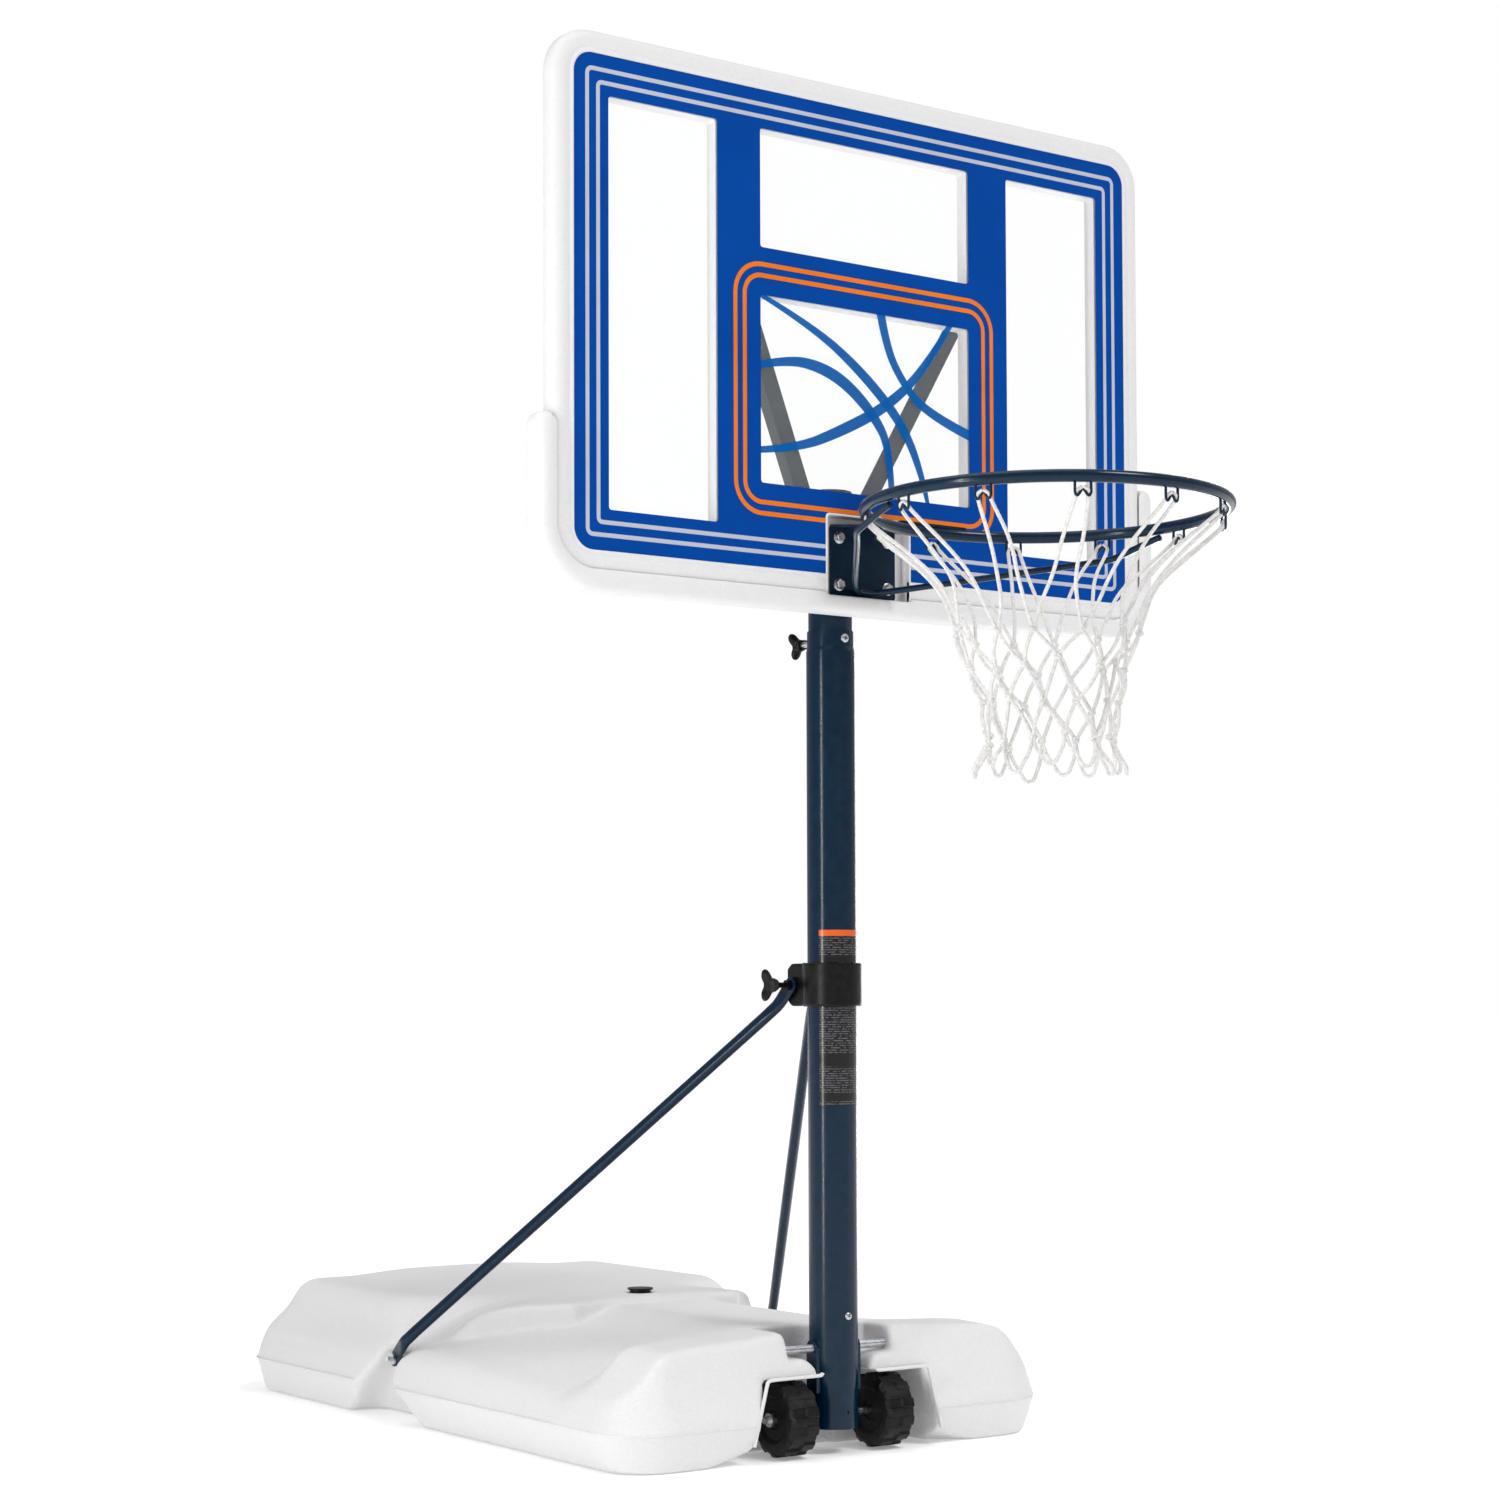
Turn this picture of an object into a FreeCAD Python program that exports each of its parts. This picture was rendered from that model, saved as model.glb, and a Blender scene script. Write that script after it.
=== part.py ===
import FreeCAD, Part
import Sketcher
import math
import os

# Portable basketball hoop. Millimetres, +Z up, X to the right of the board, the rim points to -Y.
# The origin is the middle of the footprint at floor level; pole_y is where the pole stands.
# Lengths called _y are measured along Y from the pole axis.

V = FreeCAD.Vector
Rot = FreeCAD.Rotation
Place = FreeCAD.Placement

doc = FreeCAD.newDocument("basketball_hoop")
sheet = doc.addObject("Spreadsheet::Sheet", "sizes")
NODES = []

SIZES = [
    ("pole_od", 69.85), ("pole_wall", 2.0), ("pole_bottom", 36), ("neck_low", 1146),
    ("neck_top", 1169), ("neck_od", 67.2), ("neck_id", 64.1),
    ("upper_od", 63.5), ("upper_wall", 1.8), ("upper_bottom", 360), ("upper_top", 1366),
    ("bush_len", 60), ("bush_gap", 0.3), ("cap_thick", 4), ("cap_plug", 15), ("cap_gap", 0.1),
    ("rod_z", 149), ("rod_dia", 12), ("rod_len", 270),
    ("axle_z", 54.5), ("axle_dia", 10), ("axle_len", 244),
    ("wheel_dia", 106), ("wheel_wide", 50), ("wheel_x", 84), ("bore_gap", 0.05),
    ("hub_dia", 60), ("hub_deep", 6),
    ("base_half", 381), ("base_front", 45), ("base_rear", 1150), ("base_low_inset", 32),
    ("part_line", 55), ("base_mid", 130), ("base_mid_inset", 26), ("base_top", 184),
    ("base_top_inset", 88), ("corner_round", 105), ("tank_wall", 4),
    ("well_half", 146), ("well_back", 62), ("well_top", 114),
    ("slot_half", 92), ("slot_low", 138), ("pole_slot_half", 44), ("slot_back", 76),
    ("strut_slot_in", 300), ("strut_slot_front", 566), ("strut_slot_rear", 704),
    ("strut_slot_low", 60), ("solid_half", 152), ("solid_back", 84),
    ("notch_mid", 670), ("notch_half", 105), ("notch_top", 104), ("notch_in", 312),
    ("fill_y", 505), ("fill_dia", 34), ("fill_boss", 60), ("dome_top", 190),
    ("strut_eye_x", 31), ("strut_eye_y", 58), ("strut_eye_z", 663), ("strut_foot_x", 346),
    ("strut_foot_y", 666), ("strut_foot_z", 92), ("strut_dia", 18), ("strut_tab", 5), ("strut_wall", 1.5),
    ("strut_tab_round", 12), ("strut_tab_len", 44), ("strut_pin_dia", 8), ("strut_pin_len", 66),
    ("collar_low", 632), ("collar_tall", 63), ("collar_od", 85), ("collar_gap", 0.4),
    ("ear_half", 27), ("ear_rear", 72), ("ear_inset", 8), ("ear_gap", 5),
    ("collar_bolt_dia", 8), ("knob_z", 1157), ("knob_dia", 44), ("knob_thick", 15),
    ("stud_dia", 8), ("knob_y", 68), ("side_knob_dia", 52), ("side_knob_x", 58),
    ("foot_ear_in", 28), ("foot_ear_thick", 4), ("foot_ear_wide", 24), ("foot_ear_drop", 62),
    ("weld_gap", 0.05), ("drain_z", 60), ("drain_dia", 4),
    ("push_nut_rim", 5), ("push_nut_thick", 4), ("collar_nut_dia", 15), ("collar_nut_thick", 6),
    ("vee_screw_hole", 2.6), ("screw_boss_hole", 3.1), ("screw_reach", 60), ("bolt_gap", 0.1),
    ("label_low", 492), ("label_top", 741), ("label_thick", 0.3),
    ("screw_z", 195), ("screw_head", 11), ("guide_z", 1157),
    ("board_y", 90), ("panel_wide", 974), ("panel_low", 1236), ("panel_tall", 664),
    ("panel_thick", 3), ("panel_round", 29), ("frame_edge", 32), ("frame_lip", 2),
    ("frame_deep", 27), ("frame_round", 58),
    ("side_in", 257), ("side_out", 432.5), ("window_low", 1291.5), ("window_top", 1845.5),
    ("mid_half", 185), ("lower_low", 1353), ("lower_top", 1613.5), ("upper_low", 1680),
    ("window_round", 4),
    ("bumper_half", 543), ("bumper_low", 1182), ("bumper_top", 1414), ("bumper_front_y", 97),
    ("bumper_deep", 45), ("bumper_face", 34), ("bumper_round", 88),
    ("recess_half", 72), ("recess_top", 1319), ("recess_floor", 16),
    ("rim_z", 1280), ("rim_gap", 152.4), ("rim_inner", 228.6), ("rim_rod", 16),
    ("plate_half", 57), ("plate_low", 1208), ("plate_tall", 101), ("plate_thick", 4),
    ("bolt_x", 43), ("bolt_z_low", 1224.5), ("bolt_z_high", 1291.5), ("bolt_dia", 8),
    ("washer_dia", 18), ("head_dia", 13), ("web_half", 56), ("web_level", 110),
    ("brace_dia", 9), ("brace_bend_x", 220), ("brace_bend_y", 352), ("brace_bend_z", 1246),
    ("brace_end_x", 232), ("brace_end_y", 438), ("brace_low_z", 1216), ("brace_low_x", 15),
    ("hook_wire", 3.6), ("hook_drop", 24), ("hook_half", 9),
    ("net_wall", 3), ("net_top", 1255), ("net_low", 927), ("net_top_r", 219), ("net_waist_r", 86),
    ("net_waist", 1035), ("net_end_r", 92), ("net_bulge", 1205), ("net_bulge_r", 196),
    ("clamp_low", 1206), ("clamp_tall", 112), ("clamp_thick", 4), ("clamp_half", 53),
    ("flange_low", 1250), ("flange_in", 32.2), ("flange_rear", 20), ("cross_low", 1268), ("cross_high", 1298),
    ("vee_wide", 26), ("vee_thick", 4), ("vee_low_z", 1342), ("vee_low_x", 47), ("vee_low_y", 12),
    ("vee_top_z", 1690), ("vee_top_x", 221), ("vee_top_y", 63.5),
    ("vee_bolt_z", 1346), ("vee_tab_low", 1324), ("vee_tab_half", 12), ("rib", 4), ("skin", 6),
    ("screw_boss_low", 1655), ("screw_boss_top", 1716), ("vee_screw_z", 1678), ("vee_screw_x", 215),
]
for row, (alias, value) in enumerate(SIZES, start=1):
    sheet.set(f"A{row}", alias)
    sheet.set(f"B{row}", str(value))
    sheet.setAlias(f"B{row}", alias)
derived_row = len(SIZES) + 1
sheet.set(f"A{derived_row}", "pole_y")
sheet.set(f"B{derived_row}", "=(board_y + rim_gap + 2 * rim_inner + rim_rod - base_rear) / 2")
sheet.setAlias(f"B{derived_row}", "pole_y")
doc.recompute()


def size(alias):
    """The value of a sheet cell, in millimetres."""
    return float(sheet.get(alias))


POLE_Y = size("pole_y")
RIM_MID_Y = POLE_Y - size("board_y") - size("rim_gap") - size("rim_inner")
BOARD_Y = POLE_Y - size("board_y")


def node(item, label):
    """Name a finished sub-part and list it for export."""
    item.Label = label
    NODES.append(item)
    return item


def bind(item, **expressions):
    """Bind properties of an object to expressions on the sheet."""
    for prop, expression in expressions.items():
        item.setExpression(prop, expression)
    return item


def cell(expression):
    """Point every word of an expression at the sheet."""
    words = expression.replace("(", "( ").replace(")", " )").split()
    return " ".join("sizes." + w if w[0].isalpha() else w for w in words)


def new_body(name):
    return doc.addObject("PartDesign::Body", name)


def new_sketch(body, plane, offset=None):
    """A sketch on an origin plane of the body, moved along the plane's normal by an expression."""
    role = plane + "_Plane"
    origin_plane = [p for p in body.Origin.OriginFeatures if p.Role == role][0]
    sketch = body.newObject("Sketcher::SketchObject", body.Name + "_sketch")
    sketch.AttachmentSupport = [(origin_plane, "")]
    sketch.MapMode = "FlatFace"
    if offset is not None:
        sketch.setExpression("AttachmentOffset.Base.z", cell(offset))
    return sketch


def pin_point(sketch, geo, pos, across, up):
    """Fix a point of the sketch at two sheet expressions, measured from the sketch origin."""
    for kind, axis, expression in (("DistanceX", -2, across), ("DistanceY", -1, up)):
        if expression is None:
            continue
        if expression == "0":
            sketch.addConstraint(Sketcher.Constraint("PointOnObject", geo, pos, axis))
            continue
        point = sketch.getPoint(geo, pos)
        now = point.x if kind == "DistanceX" else point.y
        index = sketch.addConstraint(Sketcher.Constraint(kind, -1, 1, geo, pos, now))
        sketch.setExpression(f"Constraints[{index}]", cell(expression))


def polygon(sketch, corners):
    """A closed outline through corners given as pairs of sheet expressions."""
    count = len(corners)
    first = sketch.GeometryCount
    turn = [2 * math.pi * k / count for k in range(count)]
    spots = [V(100 * math.cos(a) + 7, 100 * math.sin(a) + 3, 0) for a in turn]
    for k in range(count):
        sketch.addGeometry(Part.LineSegment(spots[k], spots[(k + 1) % count]), False)
    for k in range(count):
        following = first + (k + 1) % count
        sketch.addConstraint(Sketcher.Constraint("Coincident", first + k, 2, following, 1))
    for k, (across, up) in enumerate(corners):
        pin_point(sketch, first + k, 1, across, up)


def rectangle(sketch, left, low, right, top):
    polygon(sketch, [(left, low), (right, low), (right, top), (left, top)])


def rounded_rectangle(sketch, left, low, right, top, radius):
    """A rectangle with four equal corner arcs, bound to the sheet."""
    first = sketch.GeometryCount
    wide, tall, bend = 100.0, 80.0, 10.0
    corners = [(wide, 0), (wide, tall), (0, tall), (0, 0)]
    inward = [(-1, 1), (-1, -1), (1, -1), (1, 1)]
    starts = [-90, 0, 90, 180]
    ends = [
        (V(bend, 0, 0), V(wide - bend, 0, 0)),
        (V(wide, bend, 0), V(wide, tall - bend, 0)),
        (V(wide - bend, tall, 0), V(bend, tall, 0)),
        (V(0, tall - bend, 0), V(0, bend, 0)),
    ]
    for k in range(4):
        sketch.addGeometry(Part.LineSegment(*ends[k]), False)
        middle = V(corners[k][0] + bend * inward[k][0], corners[k][1] + bend * inward[k][1], 0)
        circle = Part.Circle(middle, V(0, 0, 1), bend)
        begin = math.radians(starts[k])
        sketch.addGeometry(Part.ArcOfCircle(circle, begin, begin + math.pi / 2), False)
    for k in range(4):
        line = first + 2 * k
        arc = line + 1
        following = first + (2 * k + 2) % 8
        sketch.addConstraint(Sketcher.Constraint("Tangent", line, 2, arc, 1))
        sketch.addConstraint(Sketcher.Constraint("Tangent", arc, 2, following, 1))
        direction = "Horizontal" if k % 2 == 0 else "Vertical"
        sketch.addConstraint(Sketcher.Constraint(direction, line))
        if k:
            sketch.addConstraint(Sketcher.Constraint("Equal", first + 1, arc))
    index = sketch.addConstraint(Sketcher.Constraint("Radius", first + 1, bend))
    sketch.setExpression(f"Constraints[{index}]", cell(radius))
    pin_point(sketch, first, 1, None, low)
    pin_point(sketch, first + 2, 1, right, None)
    pin_point(sketch, first + 4, 1, None, top)
    pin_point(sketch, first + 6, 1, left, None)


def circle(sketch, across, up, radius):
    index = sketch.addGeometry(Part.Circle(V(5, 5, 0), V(0, 0, 1), 20), False)
    pin_point(sketch, index, 3, across, up)
    mark = sketch.addConstraint(Sketcher.Constraint("Radius", index, 20))
    sketch.setExpression(f"Constraints[{mark}]", cell(radius))


def feature(body, kind, sketch, length=None, **values):
    """A Pad, Pocket or Revolution of a sketch, with its length bound to the sheet."""
    item = body.newObject("PartDesign::" + kind, body.Name + "_" + kind.lower())
    item.Profile = sketch
    for name, value in values.items():
        setattr(item, name, value)
    if length is not None:
        item.setExpression("Length", cell(length))
    body.Tip = item
    doc.recompute()
    return item


def turned(body, outline):
    """A ring turned about the body's Z axis; the outline is (radius, height) corners."""
    sketch = new_sketch(body, "XZ")
    polygon(sketch, outline)
    return feature(body, "Revolution", sketch, ReferenceAxis=(sketch, ["V_Axis"]), Angle=360.0)


def fillet(body, edges, radius):
    """Round the named edges of the body's last feature."""
    base = body.Tip
    item = body.newObject("PartDesign::Fillet", body.Name + "_fillet")
    item.Base = (base, edges)
    item.setExpression("Radius", cell(radius))
    body.Tip = item
    doc.recompute()
    return item


def edges_where(shape, test):
    return [f"Edge{k}" for k, edge in enumerate(shape.Edges, start=1) if test(edge)]


def cylinder(name, diameter, length, low_end, direction, label=None):
    """A round bar of bound size from low_end along direction; a node when it has a label."""
    bar = doc.addObject("Part::Cylinder", name)
    bind(bar, Radius=cell(diameter) + " / 2", Height=cell(length))
    bar.Placement = Place(low_end, Rot(V(0, 0, 1), direction))
    if label:
        node(bar, label)
    return bar


def fused(name, pieces, label=None):
    whole = doc.addObject("Part::MultiFuse", name)
    whole.Shapes = pieces
    whole.Refine = True
    doc.recompute()
    if label:
        node(whole, label)
    return whole


def cut(name, base, tool, label=None):
    whole = doc.addObject("Part::Cut", name)
    whole.Base = base
    whole.Tool = tool
    doc.recompute()
    if label:
        node(whole, label)
    return whole


def grouped(name, solids, label):
    """Separate identical fasteners held together as one node."""
    group = doc.addObject("Part::Feature", name)
    group.Shape = Part.makeCompound(solids)
    return node(group, label)


def tank_outline(sketch, inset):
    """The tank's plan: a rectangle whose four corners are rounded in two straight steps."""
    side = f"base_half - ({inset})"
    front = f"0 - base_front + {inset}"
    rear = f"base_rear - ({inset})"
    step = "0.29 * corner_round"
    right = [
        (f"{side} - corner_round", front),
        (f"{side} - {step}", f"{front} + {step}"),
        (side, f"{front} + corner_round"),
        (side, f"{rear} - corner_round"),
        (f"{side} - {step}", f"{rear} - {step}"),
        (f"{side} - corner_round", rear),
    ]
    left = [(f"0 - ({across})", up) for across, up in reversed(right)]
    polygon(sketch, right + left)


def tank_solid(name, wall):
    """The tank's outside when wall is 0, or its inside when wall is the wall thickness."""
    body = new_body(name)
    levels = [
        (wall, f"base_low_inset + {wall}"),
        ("part_line", wall),
        ("base_mid", f"base_mid_inset + {wall}"),
        (f"base_top - {wall}", f"base_top_inset + {wall}"),
    ]
    sections = []
    for height, inset in levels:
        section = new_sketch(body, "XY", height)
        tank_outline(section, inset)
        sections.append(section)
    doc.recompute()
    loft = body.newObject("PartDesign::AdditiveLoft", name + "_loft")
    loft.Profile = sections[0]
    loft.Sections = sections[1:]
    loft.Ruled = True
    body.Tip = loft
    doc.recompute()
    return body


def pocket_box(body, left, front, right, rear, top, deep):
    """Cut a box down from the height top of the body."""
    sketch = new_sketch(body, "XY", top)
    rectangle(sketch, left, front, right, rear)
    return feature(body, "Pocket", sketch, deep)


def pocket_round(body, plane, offset, across, up, radius, deep):
    """Cut a round hole against the normal of the plane, starting at offset along it."""
    sketch = new_sketch(body, plane, offset)
    circle(sketch, across, up, radius)
    return feature(body, "Pocket", sketch, deep)


def base_tank():
    """The hollow tank with wheel wells, pole slot, side notches and the fill neck."""
    shell = tank_solid("tank_outside", "0")
    crown = new_sketch(shell, "XY", "base_top - 20")
    circle(crown, "0", "fill_y", "fill_boss")
    feature(shell, "Pad", crown, "dome_top - base_top + 20")
    pocket_box(shell, "0 - well_half", "0 - base_front - 20", "well_half", "well_back", "well_top",
               "well_top + 9")
    pocket_box(shell, "0 - slot_half", "0 - base_front - 20", "slot_half", "slot_back", "base_top + 9",
               "base_top + 9 - slot_low")
    pocket_box(shell, "0 - pole_slot_half", "0 - base_front - 20", "pole_slot_half", "slot_back",
               "base_top + 9", "base_top + 20")
    for inner, outer in (("strut_slot_in", "base_half"), ("0 - base_half", "0 - strut_slot_in")):
        pocket_box(shell, inner, "strut_slot_front", outer, "strut_slot_rear", "base_top + 9",
                   "base_top + 9 - strut_slot_low")
    for start in ("base_half + 9", "0 - notch_in"):
        sketch = new_sketch(shell, "YZ", start)
        polygon(sketch, [("notch_mid - notch_half", "0 - 5"), ("notch_mid + notch_half", "0 - 5"),
                         ("notch_mid", "notch_top")])
        feature(shell, "Pocket", sketch, "base_half + 9 - notch_in")
    pocket_round(shell, "YZ", "rod_len / 2 + 1", "0", "rod_z", "rod_dia / 2 + 0.1", "rod_len + 2")
    pin_room = "strut_foot_x - strut_pin_len / 2 - 1"
    for start in ("strut_foot_x", f"0 - ({pin_room})"):
        pocket_round(shell, "YZ", start, "strut_foot_y", "strut_foot_z", "strut_pin_dia / 2 + 0.05",
                     f"strut_foot_x - ({pin_room})")
    pocket_round(shell, "XY", "dome_top + 1", "0", "fill_y", "fill_dia / 2", "60")
    inside = tank_solid("tank_inside", "tank_wall")
    pocket_box(inside, "0 - solid_half", "0 - base_front", "solid_half", "solid_back", "base_top",
               "base_top + 9")
    for inner, outer in (("notch_in - 22", "base_half"), ("0 - base_half", "22 - notch_in")):
        pocket_box(inside, inner, "notch_mid - notch_half - tank_wall", outer,
                   "notch_mid + notch_half + tank_wall", "base_top", "base_top + 9")
    tank = cut("tank", shell, inside, "base_tank")
    tank.Placement = Place(V(0, POLE_Y, 0), Rot())


def fill_plug():
    """A push-in plug with a flat rim."""
    body = new_body("plug")
    turned(body, [("0", "dome_top - 14"), ("fill_dia / 2 - 0.3", "dome_top - 14"),
                  ("fill_dia / 2 - 0.3", "dome_top + 0.3"), ("fill_dia / 2 + 3", "dome_top + 0.3"),
                  ("fill_dia / 2 + 3", "dome_top + 3"), ("0", "dome_top + 3")])
    body.Placement = Place(V(0, POLE_Y + size("fill_y"), 0), Rot())
    node(body, "fill_plug")


def wheel(label, side):
    """A dished wheel with a plain bore, turning about the X axis."""
    body = new_body(label)
    rim = "wheel_dia / 2"
    turned(body, [
        ("axle_dia / 2 + bore_gap", "hub_deep - wheel_wide / 2"),
        ("hub_dia / 2", "hub_deep - wheel_wide / 2"),
        ("hub_dia / 2 + hub_deep", "0 - wheel_wide / 2"),
        (f"{rim} - 4", "0 - wheel_wide / 2"),
        (rim, "4 - wheel_wide / 2"),
        (rim, "wheel_wide / 2 - 4"),
        (f"{rim} - 4", "wheel_wide / 2"),
        ("hub_dia / 2 + hub_deep", "wheel_wide / 2"),
        ("hub_dia / 2", "wheel_wide / 2 - hub_deep"),
        ("axle_dia / 2 + bore_gap", "wheel_wide / 2 - hub_deep"),
    ])
    body.Placement = Place(V(side * size("wheel_x"), POLE_Y, size("axle_z")), Rot(V(0, 1, 0), 90))
    node(body, label)


def ring_solid(bore, outer, length, start, direction):
    """A plain ring: a washer, push nut or sleeve."""
    whole = Part.makeCylinder(outer, length, start, direction)
    return whole.cut(Part.makeCylinder(bore, length, start, direction))


def running_gear():
    """Wheels, their axle, the pole's cross rod and the nuts that hold them."""
    for label, side in (("wheel_left", -1), ("wheel_right", 1)):
        wheel(label, side)
    along = V(1, 0, 0)
    half_axle = size("axle_len") / 2
    cylinder("axle", "axle_dia", "axle_len", V(-half_axle, POLE_Y, size("axle_z")), along, "wheel_axle")
    half_rod = size("rod_len") / 2
    cylinder("rod", "rod_dia", "rod_len", V(-half_rod, POLE_Y, size("rod_z")), along, "pole_rod")
    bore = size("axle_dia") / 2
    nuts = []
    outer_face = size("wheel_x") + size("wheel_wide") / 2
    for side in (-1, 1):
        start = V(side * (outer_face + 1), POLE_Y, size("axle_z"))
        nuts.append(ring_solid(bore, bore + size("push_nut_rim"), size("push_nut_thick"), start,
                               V(side, 0, 0)))
    grouped("axle_nuts", nuts, "axle_push_nuts")


def lower_pole():
    """The lower tube: swaged in at the top, drilled for the rod, axle, screw, stud and bolt."""
    body = new_body("lower")
    outer = "pole_od / 2"
    turned(body, [
        (f"{outer} - pole_wall", "pole_bottom"), (outer, "pole_bottom"), (outer, "neck_low - 6"),
        ("neck_od / 2", "neck_low"), ("neck_od / 2", "neck_top"), ("neck_id / 2", "neck_top"),
        ("neck_id / 2", "neck_low"), (f"{outer} - pole_wall", "neck_low - 6"),
    ])
    pocket_round(body, "YZ", "pole_od", "0", "rod_z", "rod_dia / 2 + 0.05", "2 * pole_od")
    pocket_round(body, "YZ", "pole_od", "0", "axle_z", "axle_dia / 2 + 0.05", "2 * pole_od")
    pocket_round(body, "XZ", "pole_od", "0", "screw_z", "2.55", "pole_od")
    pocket_round(body, "XZ", "pole_od", "0", "drain_z", "drain_dia / 2", "pole_od")
    pocket_round(body, "XZ", "pole_od", "0", "guide_z", "3.05", "pole_od")
    pocket_round(body, "XZ", None, "0", "knob_z", "stud_dia / 2 + bore_gap", "pole_od")
    body.Placement = Place(V(0, POLE_Y, 0), Rot())
    node(body, "lower_pole")


def foot_bracket():
    """Two ears welded to the sides of the pole foot, one round each end of the rod's span."""
    pole_radius = size("pole_od") / 2 + size("weld_gap")
    inner = size("foot_ear_in")
    thick = size("pole_od") / 2 + size("foot_ear_thick") - inner
    half = size("foot_ear_wide") / 2
    low = size("rod_z") - size("foot_ear_drop")
    pole = Part.makeCylinder(pole_radius, 2 * size("rod_z"), V(0, POLE_Y, 0))
    ears = []
    for side in (-1, 1):
        outward = V(side, 0, 0)
        start = V(side * inner, POLE_Y, size("rod_z"))
        boss = Part.makeCylinder(half, thick, start, outward)
        corner = V(inner if side > 0 else -inner - thick, POLE_Y - half, low)
        tail = Part.makeBox(thick, 2 * half, size("foot_ear_drop"), corner)
        hole = Part.makeCylinder(size("rod_dia") / 2 + size("bore_gap"), thick, start, outward)
        ears.append(boss.fuse(tail).removeSplitter().cut(pole).cut(hole))
    grouped("foot_ears", ears, "foot_bracket")


def round_head_screw(name, label, height, surface, shank, head, reach):
    """A short screw in the front of the pole: a head outside and a shank through the wall."""
    head_start = V(0, POLE_Y - surface - 3, height)
    cap = cylinder(name + "_head", head, "3", head_start, V(0, 1, 0))
    stem = cylinder(name + "_shank", shank, reach, head_start, V(0, 1, 0))
    fused(name, [cap, stem], label)


def upper_pole():
    """The tube that telescopes in the lower pole, its guide bush and its end cap."""
    body = new_body("upper")
    inner = "upper_od / 2 - upper_wall"
    turned(body, [(inner, "upper_bottom"), ("upper_od / 2", "upper_bottom"),
                  ("upper_od / 2", "upper_top"), (inner, "upper_top")])
    for height in ("cross_low", "cross_high", "vee_bolt_z"):
        pocket_round(body, "YZ", "upper_od", "0", height, "bolt_dia / 2 + 0.1", "2 * upper_od")
    bush = new_body("bush")
    turned(bush, [("upper_od / 2", "upper_bottom"), ("pole_od / 2 - pole_wall - bush_gap", "upper_bottom"),
                  ("pole_od / 2 - pole_wall - bush_gap", "upper_bottom + bush_len"),
                  ("upper_od / 2", "upper_bottom + bush_len")])
    cap = new_body("cap")
    turned(cap, [("0", "upper_top - cap_plug"), (f"{inner} - cap_gap", "upper_top - cap_plug"),
                 (f"{inner} - cap_gap", "upper_top"),
                 ("upper_od / 2", "upper_top"), ("upper_od / 2", "upper_top + cap_thick"),
                 ("0", "upper_top + cap_thick")])
    for item, label in ((body, "upper_pole"), (bush, "guide_bush"), (cap, "pole_cap")):
        item.Placement = Place(V(0, POLE_Y, 0), Rot())
        node(item, label)


def three_wing_knob(name, label, across, thick, bore, place):
    """A clamp knob with a round hub and three rounded wings."""
    body = new_body(name)
    hub = new_sketch(body, "XY")
    circle(hub, "0", "0", f"{across} * 0.31")
    feature(body, "Pad", hub, thick)
    wing = new_sketch(body, "XY", "2")
    rounded_rectangle(wing, f"0 - {across} * 0.15", f"{across} * 0.1", f"{across} * 0.15", f"{across} / 2",
                      f"{across} * 0.12")
    lobe = feature(body, "Pad", wing, f"{thick} - 4")
    pattern = body.newObject("PartDesign::PolarPattern", name + "_wings")
    pattern.Originals = [lobe]
    pattern.Axis = (wing, ["N_Axis"])
    pattern.Angle = 360
    pattern.Occurrences = 3
    body.Tip = pattern
    doc.recompute()
    pocket_round(body, "XY", f"{thick} - 4", "0", "0", bore, thick)
    body.Placement = place
    node(body, label)


def height_clamp():
    """The knob behind the neck, its stud and the nut welded on the neck."""
    top = size("knob_z")
    knob_y = POLE_Y + size("knob_y")
    three_wing_knob("clamp_knob", "height_knob", "knob_dia", "knob_thick", "stud_dia / 2",
                    Place(V(0, knob_y, top), Rot(V(1, 0, 0), -90)))
    tip = V(0, POLE_Y + size("upper_od") / 2 + 0.45, top)
    stud = cylinder("stud", "stud_dia", "knob_y + knob_thick - 4 - upper_od / 2 - 0.45", tip, V(0, 1, 0))
    node(stud, "height_stud")
    seat = size("neck_od") / 2
    start = V(0, POLE_Y + seat - 0.2, top)
    outside = Part.makeCylinder(9, 10, start, V(0, 1, 0))
    hole = Part.makeCylinder(size("stud_dia") / 2 + size("bore_gap"), 10, start, V(0, 1, 0))
    tube = Part.makeCylinder(seat, 40, V(0, POLE_Y, top - 20), V(0, 0, 1))
    nut = doc.addObject("Part::Feature", "neck_nut")
    nut.Shape = outside.cut(hole).cut(tube)
    node(nut, "weld_nut")


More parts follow.
